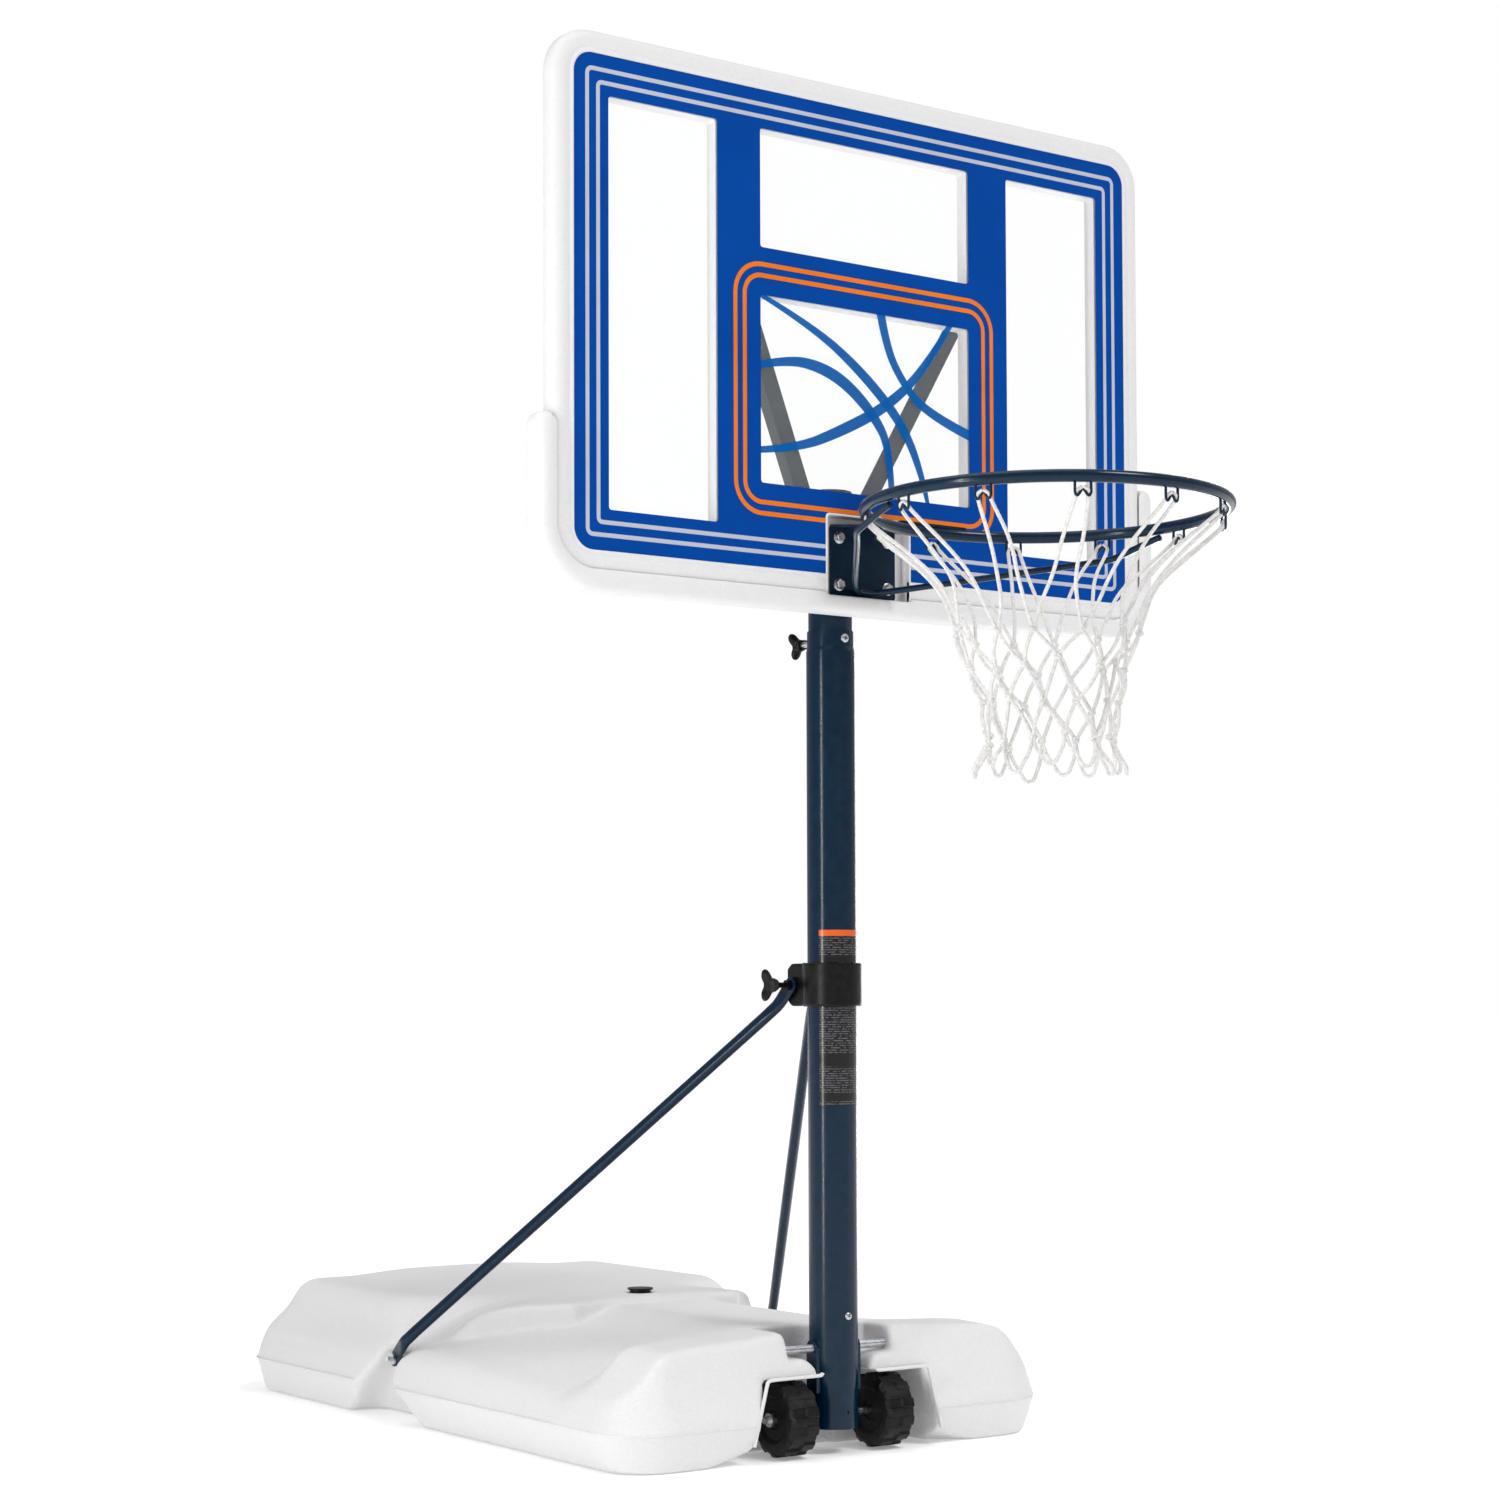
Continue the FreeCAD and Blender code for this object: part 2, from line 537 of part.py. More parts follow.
def collar():
    """The split plastic collar that ties the two struts to the pole, with its bolt and nut."""
    body = new_body("ring")
    round_part = new_sketch(body, "XY", "collar_low")
    circle(round_part, "0", "0", "collar_od / 2")
    feature(body, "Pad", round_part, "collar_tall")
    ears = new_sketch(body, "XY", "collar_low + ear_inset")
    polygon(ears, [("0 - ear_half", "10"), ("ear_half", "10"), ("ear_half", "ear_rear - 10"),
                   ("ear_half - 6", "ear_rear"), ("6 - ear_half", "ear_rear"),
                   ("0 - ear_half", "ear_rear - 10")])
    feature(body, "Pad", ears, "collar_tall - 2 * ear_inset")
    pocket_round(body, "XY", "collar_low + collar_tall + 1", "0", "0", "pole_od / 2 + collar_gap",
                 "collar_tall + 2")
    pocket_box(body, "0 - ear_gap / 2", "20", "ear_gap / 2", "ear_rear + 9", "collar_low + collar_tall + 1",
               "collar_tall + 2")
    pocket_round(body, "YZ", "collar_od", "strut_eye_y", "strut_eye_z", "collar_bolt_dia / 2 + 0.05",
                 "2 * collar_od")
    body.Placement = Place(V(0, POLE_Y, 0), Rot())
    node(body, "strut_collar")
    eye = V(0, POLE_Y + size("strut_eye_y"), size("strut_eye_z"))
    left_end = -size("side_knob_x") - size("knob_thick") + 4
    bolt = cylinder("collar_pin", "collar_bolt_dia", "side_knob_x + knob_thick + 40", eye + V(left_end, 0, 0),
                    V(1, 0, 0))
    node(bolt, "collar_bolt")
    near = size("strut_eye_x") + size("strut_tab") / 2 + 0.2
    nuts = []
    for side in (-1, 1):
        nuts.append(ring_solid(size("collar_bolt_dia") / 2, size("collar_nut_dia") / 2,
                               size("collar_nut_thick"), eye + V(side * near, 0, 0), V(side, 0, 0)))
    grouped("collar_nuts", nuts, "collar_nuts")
    three_wing_knob("side_knob", "collar_knob", "side_knob_dia", "knob_thick",
                    "collar_bolt_dia / 2 + bore_gap",
                    Place(eye + V(-size("side_knob_x"), 0, 0), Rot(V(0, 1, 0), -90)))


def strut_tab(middle, toward):
    """A flat end: a rounded tab in the plane of constant X, from the pin hole to the tube."""
    thick = size("strut_tab")
    round_r = size("strut_tab_round")
    low = middle - V(thick / 2, 0, 0)
    disc = Part.makeCylinder(round_r, thick, low, V(1, 0, 0))
    reach = toward - middle
    reach.x = 0
    across = V(1, 0, 0).cross(reach).normalize() * round_r
    corners = [low + across, low - across, low - across + reach, low + across + reach, low + across]
    tab = Part.Face(Part.makePolygon(corners)).extrude(V(thick, 0, 0))
    hole = Part.makeCylinder(size("strut_pin_dia") / 2 + 0.05, thick, low, V(1, 0, 0))
    return disc.fuse(tab).cut(hole)


def strut(label, side):
    """A tube from the collar to the tank's side notch, flattened at both ends."""
    eye = V(side * size("strut_eye_x"), POLE_Y + size("strut_eye_y"), size("strut_eye_z"))
    foot = V(side * size("strut_foot_x"), POLE_Y + size("strut_foot_y"), size("strut_foot_z"))
    slope = foot - eye
    slope.x = 0
    slope.normalize()
    tube_top = eye + slope * size("strut_tab_len")
    tube_low = foot - slope * size("strut_tab_len")
    upper_tab = strut_tab(eye, tube_top)
    lower_tab = strut_tab(foot, tube_low)
    run = tube_low - tube_top
    radius = size("strut_dia") / 2
    tube = Part.makeCylinder(radius, run.Length, tube_top, run)
    along = run * (1 / run.Length)
    bore_start = tube_top + along * radius
    bore = Part.makeCylinder(radius - size("strut_wall"), run.Length - 2 * radius, bore_start, run)
    ends = [Part.makeSphere(radius, spot) for spot in (tube_top, tube_low)]
    item = doc.addObject("Part::Feature", label)
    item.Shape = tube.multiFuse(ends + [upper_tab, lower_tab]).removeSplitter().cut(bore)
    node(item, label)


def struts():
    for label, side in (("strut_left", -1), ("strut_right", 1)):
        strut(label, side)
    pins = []
    nuts = []
    radius = size("strut_pin_dia") / 2
    reach = size("strut_pin_len") / 2
    for side in (-1, 1):
        middle = V(side * size("strut_foot_x"), POLE_Y + size("strut_foot_y"), size("strut_foot_z"))
        out = V(side, 0, 0)
        pins.append(Part.makeCylinder(radius, reach + 14, middle - out * reach, out))
        nuts.append(ring_solid(radius, radius + 5, 4, middle + out * (size("strut_tab") / 2 + 0.5), out))
    grouped("foot_pins", pins, "strut_pins")
    grouped("foot_nuts", nuts, "strut_push_nuts")


def pole_label():
    """A thin wrap round the front of the pole."""
    body = new_body("wrap")
    sketch = new_sketch(body, "XZ")
    inner = "pole_od / 2"
    rectangle(sketch, inner, "label_low", f"{inner} + label_thick", "label_top")
    feature(body, "Revolution", sketch, ReferenceAxis=(sketch, ["V_Axis"]), Angle=136.0)
    body.Placement = Place(V(0, POLE_Y, 0), Rot(V(0, 0, 1), -90 - 68))
    node(body, "pole_label")


def board_holes(body, offset, deep):
    """The four holes that the rim bolts pass through."""
    sketch = new_sketch(body, "XZ", offset)
    for across in ("0 - bolt_x", "bolt_x"):
        for up in ("bolt_z_low", "bolt_z_high"):
            circle(sketch, across, up, "bolt_dia / 2 + 0.1")
    feature(body, "Pocket", sketch, deep)


def board_place(body, label):
    body.Placement = Place(V(0, BOARD_Y, 0), Rot())
    node(body, label)


def board_frame():
    """The moulded back frame: a recess for the panel, four windows and a deep recess for the rim."""
    body = new_body("frame")
    half = "panel_wide / 2"
    top = "panel_low + panel_tall"
    sketch = new_sketch(body, "XZ", "frame_lip")
    rounded_rectangle(sketch, f"0 - {half} - frame_edge", "panel_low - frame_edge", f"{half} + frame_edge",
                      f"{top} + frame_edge", "frame_round")
    feature(body, "Pad", sketch, "frame_deep", Reversed=True)
    recess = new_sketch(body, "XZ", "frame_lip")
    rounded_rectangle(recess, f"0 - {half} - 0.1", "panel_low - 0.1", f"{half} + 0.1", f"{top} + 0.1",
                      "panel_round")
    feature(body, "Pocket", recess, "frame_lip + panel_thick + 0.1")
    windows = [
        ("0 - side_out", "window_low", "0 - side_in", "window_top"),
        ("side_in", "window_low", "side_out", "window_top"),
        ("0 - mid_half", "lower_low", "mid_half", "lower_top"),
        ("0 - mid_half", "upper_low", "mid_half", "window_top"),
    ]
    for left, low, right, high in windows:
        window = new_sketch(body, "XZ", "frame_lip")
        rounded_rectangle(window, left, low, right, high, "window_round")
        feature(body, "Pocket", window, "frame_deep + 1")
    edge = "panel_wide / 2 + frame_edge - rib"
    low, high = "panel_low - frame_edge + rib", f"{top} + frame_edge - rib"
    hollows = [
        ("side_out + rib", "window_low", edge, "window_top"),
        ("mid_half + rib", "window_low", "side_in - rib", "screw_boss_low"),
        ("mid_half + rib", "screw_boss_top", "side_in - rib", "window_top"),
        ("recess_half + rib", low, "side_out", "window_low - rib"),
        ("rib", "window_top + rib", "side_out", high),
        ("rib", "lower_top + rib", "mid_half - rib", "upper_low - rib"),
    ]
    for left, base, right, lid in hollows:
        for near, far in ((left, right), (f"0 - ({right})", f"0 - ({left})")):
            hollow = new_sketch(body, "XZ", "0 - skin - panel_thick")
            rectangle(hollow, near, base, far, lid)
            feature(body, "Pocket", hollow, "frame_deep")
    recess = new_sketch(body, "XZ", "frame_lip")
    rounded_rectangle(recess, "0 - recess_half", "panel_low - 2 * frame_edge", "recess_half", "recess_top",
                      "window_round")
    feature(body, "Pocket", recess, "frame_lip + recess_floor")
    board_holes(body, "frame_lip", "frame_deep")
    for across in ("vee_screw_x", "0 - vee_screw_x"):
        pocket_round(body, "XZ", "0 - skin", across, "vee_screw_z", "screw_boss_hole", "frame_deep")
    board_place(body, "board_frame")


def board_panel():
    """The clear front sheet, cut away over the recess."""
    body = new_body("panel")
    half = "panel_wide / 2"
    sketch = new_sketch(body, "XZ")
    rounded_rectangle(sketch, f"0 - {half}", "panel_low", half, "panel_low + panel_tall", "panel_round")
    feature(body, "Pad", sketch, "panel_thick", Reversed=True)
    gap = new_sketch(body, "XZ", "1")
    rectangle(gap, "0 - recess_half - 0.3", "panel_low - 9", "recess_half + 0.3", "recess_top + 0.3")
    feature(body, "Pocket", gap, "panel_thick + 2")
    board_place(body, "board_panel")


def bumper():
    """The padded channel round the lower edge and corners of the frame."""
    body = new_body("pad")
    outside = new_sketch(body, "XZ", "bumper_front_y - board_y")
    rectangle(outside, "0 - bumper_half", "bumper_low", "bumper_half", "bumper_top")
    feature(body, "Pad", outside, "bumper_deep", Reversed=True)
    low = size("bumper_low")

    def lower_corner(edge):
        first, last = edge.Vertexes[0].Point, edge.Vertexes[-1].Point
        return abs(first.y - last.y) > 20 and abs(first.z - low) < 1 and abs(last.z - low) < 1

    fillet(body, edges_where(body.Shape, lower_corner), "bumper_round")
    rabbet = new_sketch(body, "XZ", "frame_lip + 0.3")
    edge = "panel_wide / 2 + frame_edge + 0.3"
    rounded_rectangle(rabbet, f"0 - ({edge})", "panel_low - frame_edge - 0.3", edge, "bumper_top + 200",
                      "frame_round")
    feature(body, "Pocket", rabbet, "bumper_deep")
    middle = new_sketch(body, "XZ", "bumper_front_y")
    inner = "bumper_half - bumper_face"
    rounded_rectangle(middle, f"0 - ({inner})", "bumper_low + bumper_face", inner, "bumper_top + 200",
                      "bumper_round - bumper_face")
    feature(body, "Pocket", middle, "2 * bumper_front_y")
    room = new_sketch(body, "XZ", "bumper_front_y")
    rectangle(room, "0 - recess_half - 0.5", "plate_low - 0.5", "recess_half + 0.5", "bumper_top")
    feature(body, "Pocket", room, "2 * bumper_front_y")
    board_place(body, "board_bumper")


def rim_parts():
    """The hoop ring, its bracket, the bent brace rod, the bolts and the net hooks."""
    ring = doc.addObject("Part::Torus", "hoop")
    bind(ring, Radius1=cell("rim_inner + rim_rod / 2"), Radius2=cell("rim_rod / 2"))
    ring.Placement = Place(V(0, RIM_MID_Y, size("rim_z")), Rot())
    node(ring, "rim_ring")
    body = new_body("bracket")
    plate = new_sketch(body, "XZ", "0 - recess_floor")
    rounded_rectangle(plate, "0 - plate_half", "plate_low", "plate_half", "plate_low + plate_tall", "6")
    feature(body, "Pad", plate, "plate_thick")
    web = new_sketch(body, "YZ", "0 - web_half")
    rear, front, low = "recess_floor - plate_thick / 2", "4 - rim_gap", "rim_z + rim_rod / 2"
    top = "plate_low + plate_tall"
    polygon(web, [(rear, f"{top} - plate_thick"), (rear, top), ("0 - web_level", f"{low} + plate_thick"),
                  (front, f"{low} + plate_thick"), (front, low), ("0 - web_level", low)])
    feature(body, "Pad", web, "2 * web_half")
    board_holes(body, "plate_thick + 1 - recess_floor", "plate_thick + 2")
    board_place(body, "rim_bracket")


def bent_rod(points, radius):
    """A round rod through points in space, with ball-rounded bends."""
    rod = None
    for start, stop in zip(points, points[1:]):
        run = Part.makeCylinder(radius, (stop - start).Length, start, stop - start)
        rod = run if rod is None else rod.fuse(Part.makeSphere(radius, start)).fuse(run)
    return rod


def rim_brace():
    radius = size("brace_dia") / 2
    under_ring = size("rim_z") - size("rim_rod") / 2 - radius - 0.1
    half = [
        V(size("brace_low_x"), BOARD_Y + size("recess_floor") - size("plate_thick") - radius - 4,
          size("brace_low_z")),
        V(size("brace_bend_x"), POLE_Y - size("brace_bend_y"), size("brace_bend_z")),
        V(size("brace_end_x"), POLE_Y - size("brace_end_y"), under_ring),
    ]
    mirrored = [V(-spot.x, spot.y, spot.z) for spot in reversed(half)]
    item = doc.addObject("Part::Feature", "brace_rod")
    item.Shape = bent_rod(mirrored + half, radius)
    node(item, "rim_brace")


def rim_fasteners():
    """Four through bolts with washers in front and nuts behind the board bracket."""
    shank = size("bolt_dia") / 2
    front = BOARD_Y + size("recess_floor") - size("plate_thick")
    back = BOARD_Y - size("frame_lip") + size("frame_deep") + size("clamp_thick")
    bolts, washers, nuts = [], [], []
    for across in (-size("bolt_x"), size("bolt_x")):
        for up in (size("bolt_z_low"), size("bolt_z_high")):
            spot = V(across, front, up)
            washers.append(ring_solid(shank + 0.2, size("washer_dia") / 2, 1.6, spot, V(0, -1, 0)))
            head = Part.makeCylinder(size("head_dia") / 2, 5.5, spot - V(0, 1.6, 0), V(0, -1, 0))
            stem = Part.makeCylinder(shank, back - front + 1.6 + 10, spot - V(0, 1.6, 0), V(0, 1, 0))
            bolts.append(head.fuse(stem))
            nuts.append(ring_solid(shank, size("head_dia") / 2, 6.5, V(across, back, up), V(0, 1, 0)))
    grouped("rim_bolt_set", bolts, "rim_bolts")
    grouped("rim_washer_set", washers, "rim_washers")
    grouped("rim_nut_set", nuts, "rim_nuts")


def net_hooks():
    """Twelve bent wire hooks under the ring, one every 30 degrees."""
    radius = size("hook_wire") / 2
    ring_r = size("rim_inner") + size("rim_rod") / 2
    top = size("rim_z") - size("rim_rod") / 2 - radius
    low = top - size("hook_drop")
    half = size("hook_half")
    hooks = []
    for k in range(12):
        turn = Rot(V(0, 0, 1), 30 * k)
        local = [V(ring_r, -half, top), V(ring_r, -half / 2, low + 4), V(ring_r - 1, 0, low),
                 V(ring_r, half / 2, low + 4), V(ring_r, half, top)]
        middle = V(0, RIM_MID_Y, 0)
        hooks.append(bent_rod([middle + turn.multVec(spot) for spot in local], radius))
    grouped("hook_set", hooks, "net_hooks")


def net():
    """A closed sleeve with the net's outer shape, open at the top and bottom."""
    body = new_body("sleeve")
    outer = [("net_end_r", "net_low"), ("net_waist_r", "net_waist"), ("net_bulge_r - 70", "net_bulge - 75"),
             ("net_bulge_r", "net_bulge"), ("net_top_r", "net_top")]
    inner = [(f"{radius} - net_wall", height) for radius, height in reversed(outer)]
    turned(body, outer + inner)
    body.Placement = Place(V(0, RIM_MID_Y, 0), Rot())
    node(body, "net")


def board_bracket():
    """The channel that grips the upper pole and carries the board frame."""
    body = new_body("channel")
    back = "frame_deep - frame_lip"
    plate = new_sketch(body, "XZ", f"0 - ({back})")
    rectangle(plate, "0 - clamp_half", "clamp_low", "clamp_half", "clamp_low + clamp_tall")
    feature(body, "Pad", plate, "clamp_thick", Reversed=True)
    flanges = (("0 - flange_in - clamp_thick", "0 - flange_in"), ("flange_in", "flange_in + clamp_thick"))
    for left, right in flanges:
        flange = new_sketch(body, "XY", "flange_low")
        rectangle(flange, left, f"{back} + 1", right, "board_y + flange_rear")
        feature(body, "Pad", flange, "clamp_low + clamp_tall - flange_low")
    board_holes(body, "0", "board_y")
    for height in ("cross_low", "cross_high"):
        pocket_round(body, "YZ", "clamp_half", "board_y", height, "bolt_dia / 2 + bolt_gap", "2 * clamp_half")
    board_place(body, "board_bracket")
    along = V(1, 0, 0)
    reach = size("flange_in") + size("clamp_thick")
    bolts, nuts = [], []
    for up in (size("cross_low"), size("cross_high"), size("vee_bolt_z")):
        start = V(-reach - 10, POLE_Y, up)
        bolts.append(Part.makeCylinder(size("bolt_dia") / 2, 2 * reach + 20, start, along))
        for side in (-1, 1):
            seat = V(side * (reach + 0.1), POLE_Y, up)
            nuts.append(ring_solid(size("bolt_dia") / 2, size("head_dia") / 2, 6, seat, V(side, 0, 0)))
    grouped("cross_bolt_set", bolts, "cross_bolts")
    grouped("cross_nut_set", nuts, "cross_nuts")


def vee_brace(label, side):
    """An angle bar from the top of the pole out to a side rib of the frame."""
    low = V(side * size("vee_low_x"), POLE_Y - size("vee_low_y"), size("vee_low_z"))
    top = V(side * size("vee_top_x"), POLE_Y - size("vee_top_y"), size("vee_top_z"))
    run = top - low
    wide, thick = size("vee_wide"), size("vee_thick")
    across = run.cross(V(0, 1, 0)).normalize()
    outward = across.cross(run).normalize()
    if outward.y < 0:
        outward = outward * -1
    half = across * wide / 2
    flat = [low - half, low + half, top + half, top - half]
    web = Part.Face(Part.makePolygon(flat + [flat[0]])).extrude(outward * thick)
    edge = [low - across * wide / 2 * side, low - across * (wide / 2 - thick) * side]
    edge += [edge[1] + run, edge[0] + run]
    flange = Part.Face(Part.makePolygon(edge + [edge[0]])).extrude(outward * wide * 0.8)
    inner = min(side * size("flange_in"), side * (size("flange_in") + size("clamp_thick")))
    tab_low = V(inner, POLE_Y - size("vee_tab_half"), size("vee_tab_low"))
    tall = 2 * (size("vee_bolt_z") - size("vee_tab_low"))
    tab = Part.makeBox(size("clamp_thick"), 2 * size("vee_tab_half"), tall, tab_low)
    bolt_start = V(-side, POLE_Y, size("vee_bolt_z"))
    hole = Part.makeCylinder(size("bolt_dia") / 2 + 0.1, 3 * wide, bolt_start, V(side, 0, 0))
    nut_start = V(side * (size("flange_in") + size("clamp_thick")), POLE_Y, size("vee_bolt_z"))
    nut_room = Part.makeCylinder(size("head_dia") / 2 + 0.2, wide, nut_start, V(side, 0, 0))
    screw_start = V(side * size("vee_screw_x"), BOARD_Y, size("vee_screw_z"))
    clear = Part.makeCylinder(size("vee_screw_hole"), size("screw_reach"), screw_start, V(0, 1, 0))
    item = doc.addObject("Part::Feature", label)
    item.Shape = web.multiFuse([flange, tab]).cut(hole).cut(nut_room).cut(clear).removeSplitter()
    node(item, label)


def vee_braces():
    screws = []
    back = BOARD_Y + size("frame_deep") - size("frame_lip")
    for label, side in (("vee_brace_left", -1), ("vee_brace_right", 1)):
        vee_brace(label, side)
        spot = V(side * size("vee_screw_x"), back + 9, size("vee_screw_z"))
        stem = Part.makeCylinder(2.5, 24, spot, V(0, -1, 0))
        screws.append(stem.fuse(Part.makeCylinder(5.5, 3, spot, V(0, 1, 0))))
    grouped("vee_screw_set", screws, "vee_screws")


def check_and_write():
    """Refuse a broken object, then write one STEP file for each node."""
    doc.recompute()
    for item in doc.Objects:
        if {"Invalid", "Error"} & set(item.State):
            raise RuntimeError(f"{item.Name} is {item.State}")
    os.makedirs("parts", exist_ok=True)
    for item in NODES:
        shape = item.Shape
        if shape.isNull() or not shape.isValid():
            raise RuntimeError(f"{item.Label} has no valid shape")
        shape.exportStep(f"parts/{item.Label}.step")
        print(f"{item.Label:18s} {len(shape.Solids)} {shape.Volume / 1000:10.1f} cm3")


base_tank()
fill_plug()
running_gear()
lower_pole()
foot_bracket()
pole_radius = size("pole_od") / 2
neck_radius = size("neck_od") / 2
round_head_screw("foot_bolt", "foot_screw", size("screw_z"), pole_radius, "5", "screw_head", "9")
round_head_screw("neck_bolt", "guide_bolt", size("guide_z"), neck_radius, "6", "13", "4")
upper_pole()
height_clamp()
collar()
struts()
pole_label()
board_frame()
board_panel()
bumper()
rim_parts()
rim_brace()
rim_fasteners()
net_hooks()
net()
board_bracket()
vee_braces()
check_and_write()
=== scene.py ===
import math
import random

import bmesh
import bpy
import numpy as np
from mathutils import Matrix, Vector


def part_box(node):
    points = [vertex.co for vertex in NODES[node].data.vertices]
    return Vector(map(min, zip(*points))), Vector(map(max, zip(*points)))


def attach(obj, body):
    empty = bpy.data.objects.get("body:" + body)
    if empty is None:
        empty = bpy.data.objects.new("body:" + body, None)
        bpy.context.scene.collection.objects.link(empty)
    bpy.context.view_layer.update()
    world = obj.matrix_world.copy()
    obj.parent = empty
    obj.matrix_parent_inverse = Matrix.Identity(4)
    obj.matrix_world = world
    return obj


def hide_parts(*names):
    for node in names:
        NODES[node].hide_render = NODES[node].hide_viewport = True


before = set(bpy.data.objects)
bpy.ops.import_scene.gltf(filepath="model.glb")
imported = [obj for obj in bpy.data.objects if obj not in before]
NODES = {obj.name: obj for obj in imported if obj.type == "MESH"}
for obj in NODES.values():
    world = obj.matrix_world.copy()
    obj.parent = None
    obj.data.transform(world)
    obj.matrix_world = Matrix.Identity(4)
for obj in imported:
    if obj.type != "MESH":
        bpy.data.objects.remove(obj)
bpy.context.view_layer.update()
scene = bpy.context.scene
random.seed(11)


def middle(node):
    low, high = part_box(node)
    return (low + high) / 2


POLE_Y = middle("lower_pole").y
BOARD_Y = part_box("board_panel")[0].y
RING = middle("rim_ring")
PANEL_LOW, PANEL_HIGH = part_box("board_panel")
PANEL_HALF = PANEL_HIGH.x

# Materials


def new_material(name, colour, roughness, metallic=0.0, **sockets):
    """A Principled material; returns it with its tree, its shader and object coordinates."""
    material = bpy.data.materials.new(name)
    material.use_nodes = True
    tree = material.node_tree
    shader = tree.nodes["Principled BSDF"]
    shader.inputs["Base Color"].default_value = (*colour, 1)
    shader.inputs["Roughness"].default_value = roughness
    shader.inputs["Metallic"].default_value = metallic
    for socket, value in sockets.items():
        shader.inputs[socket.replace("_", " ")].default_value = value
    place = tree.nodes.new("ShaderNodeTexCoord").outputs["Object"]
    return material, tree, shader, place


def add_node(tree, kind, source, socket="Vector", **values):
    """A new node fed by source; values set its other sockets."""
    node = tree.nodes.new("ShaderNode" + kind)
    tree.links.new(source, node.inputs[socket])
    for name, value in values.items():
        node.inputs[name.replace("_", " ")].default_value = value
    return node


def noise(tree, place, scale, detail=3.0):
    return add_node(tree, "TexNoise", place, Scale=scale, Detail=detail).outputs["Fac"]


def speckle(tree, place, scale):
    return add_node(tree, "TexVoronoi", place, Scale=scale).outputs["Distance"]


def map_range(tree, value, start, stop, low=0.0, high=1.0):
    """A value between start and stop, moved to lie between low and high."""
    node = add_node(tree, "MapRange", value, "Value", From_Min=start, From_Max=stop, To_Min=low, To_Max=high)
    return node.outputs["Result"]


def ramp(tree, value, stops):
    """A colour ramp through (position, colour) stops."""
    node = add_node(tree, "ValToRGB", value, "Fac")
    points = node.color_ramp.elements
    while len(points) < len(stops):
        points.new(0.5)
    for point, (position, colour) in zip(points, stops):
        point.position = position
        point.color = (*colour, 1)
    return node.outputs["Color"]


def mottle(tree, shader, value, dark, light, low=0.35, high=0.65):
    tree.links.new(ramp(tree, value, [(low, dark), (high, light)]), shader.inputs["Base Color"])


def vary_roughness(tree, shader, value, low, high):
    tree.links.new(map_range(tree, value, 0.3, 0.7, low, high), shader.inputs["Roughness"])


def bumps(tree, shader, layers):
    """Layers of (height, strength, distance in metres), each on top of the one before."""
    normal = None
    for height, strength, distance in layers:
        node = add_node(tree, "Bump", height, "Height", Strength=strength, Distance=distance)
        if normal is not None:
            tree.links.new(normal, node.inputs["Normal"])
        normal = node.outputs["Normal"]
    tree.links.new(normal, shader.inputs["Normal"])


def white_plastic(name, level, pebble_scale, pebble_depth, waviness):
    """Moulded white plastic of a given whiteness: fine pebble, faint waves, slightly uneven gloss."""
    white = (level, level * 0.99, level * 0.998)
    dull = tuple(c * 0.965 for c in white)
    material, tree, shader, place = new_material(name, white, 0.5, Specular_IOR_Level=0.4)
    mottle(tree, shader, noise(tree, place, 260, 6), dull, white)
    vary_roughness(tree, shader, noise(tree, place, 55), 0.42, 0.58)
    bumps(tree, shader, [
        (noise(tree, place, 7, 2), 0.35, waviness),
        (speckle(tree, place, pebble_scale), 0.5, pebble_depth),
        (noise(tree, place, pebble_scale * 1.7, 2), 0.4, pebble_depth * 0.5),
    ])
    return material


def powder_coat(name, colour, light):
    """Dark gloss paint with a faint orange peel."""
    material, tree, shader, place = new_material(name, colour, 0.2, Specular_IOR_Level=0.28)
    mottle(tree, shader, noise(tree, place, 60, 4), colour, light)
    vary_roughness(tree, shader, noise(tree, place, 35), 0.15, 0.22)
    bumps(tree, shader, [(noise(tree, place, 420, 2), 0.18, 0.0004)])
    return material


def printed(name, colour, deep, **sockets):
    """Printed ink behind a glossy sheet."""
    material, tree, shader, place = new_material(name, colour, 0.3, Specular_IOR_Level=0.06, **sockets)
    mottle(tree, shader, noise(tree, place, 9, 4), deep, colour)
    bumps(tree, shader, [(noise(tree, place, 5, 1), 0.15, 0.0015)])
    return material


def zinc(name):
    """Bright zinc plate with faint brushed streaks."""
    material, tree, shader, place = new_material(name, (0.62, 0.64, 0.66), 0.28, 1.0)
    mottle(tree, shader, noise(tree, place, 160, 4), (0.5, 0.52, 0.55), (0.72, 0.73, 0.74))
    vary_roughness(tree, shader, noise(tree, place, 300), 0.2, 0.4)
    bumps(tree, shader, [(noise(tree, place, 900, 2), 0.2, 0.0002)])
    return material


def threaded(name):
    """Zinc plated threaded bar, its pitch along X."""
    material, tree, shader, place = new_material(name, (0.6, 0.62, 0.64), 0.3, 1.0)
    mottle(tree, shader, noise(tree, place, 160, 4), (0.5, 0.53, 0.57), (0.7, 0.71, 0.73))
    wave = add_node(tree, "TexWave", place, Scale=180)
    bumps(tree, shader, [(wave.outputs["Fac"], 0.6, 0.0006)])
    return material


def black_plastic(name, colour, rough_low, rough_high, depth):
    material, tree, shader, place = new_material(name, colour, rough_low, Specular_IOR_Level=0.2)
    light = tuple(3 * c for c in colour)
    mottle(tree, shader, noise(tree, place, 90, 5), colour, light)
    vary_roughness(tree, shader, noise(tree, place, 60), rough_low, rough_high)
    bumps(tree, shader, [(noise(tree, place, 700, 3), 0.35, depth)])
    return material


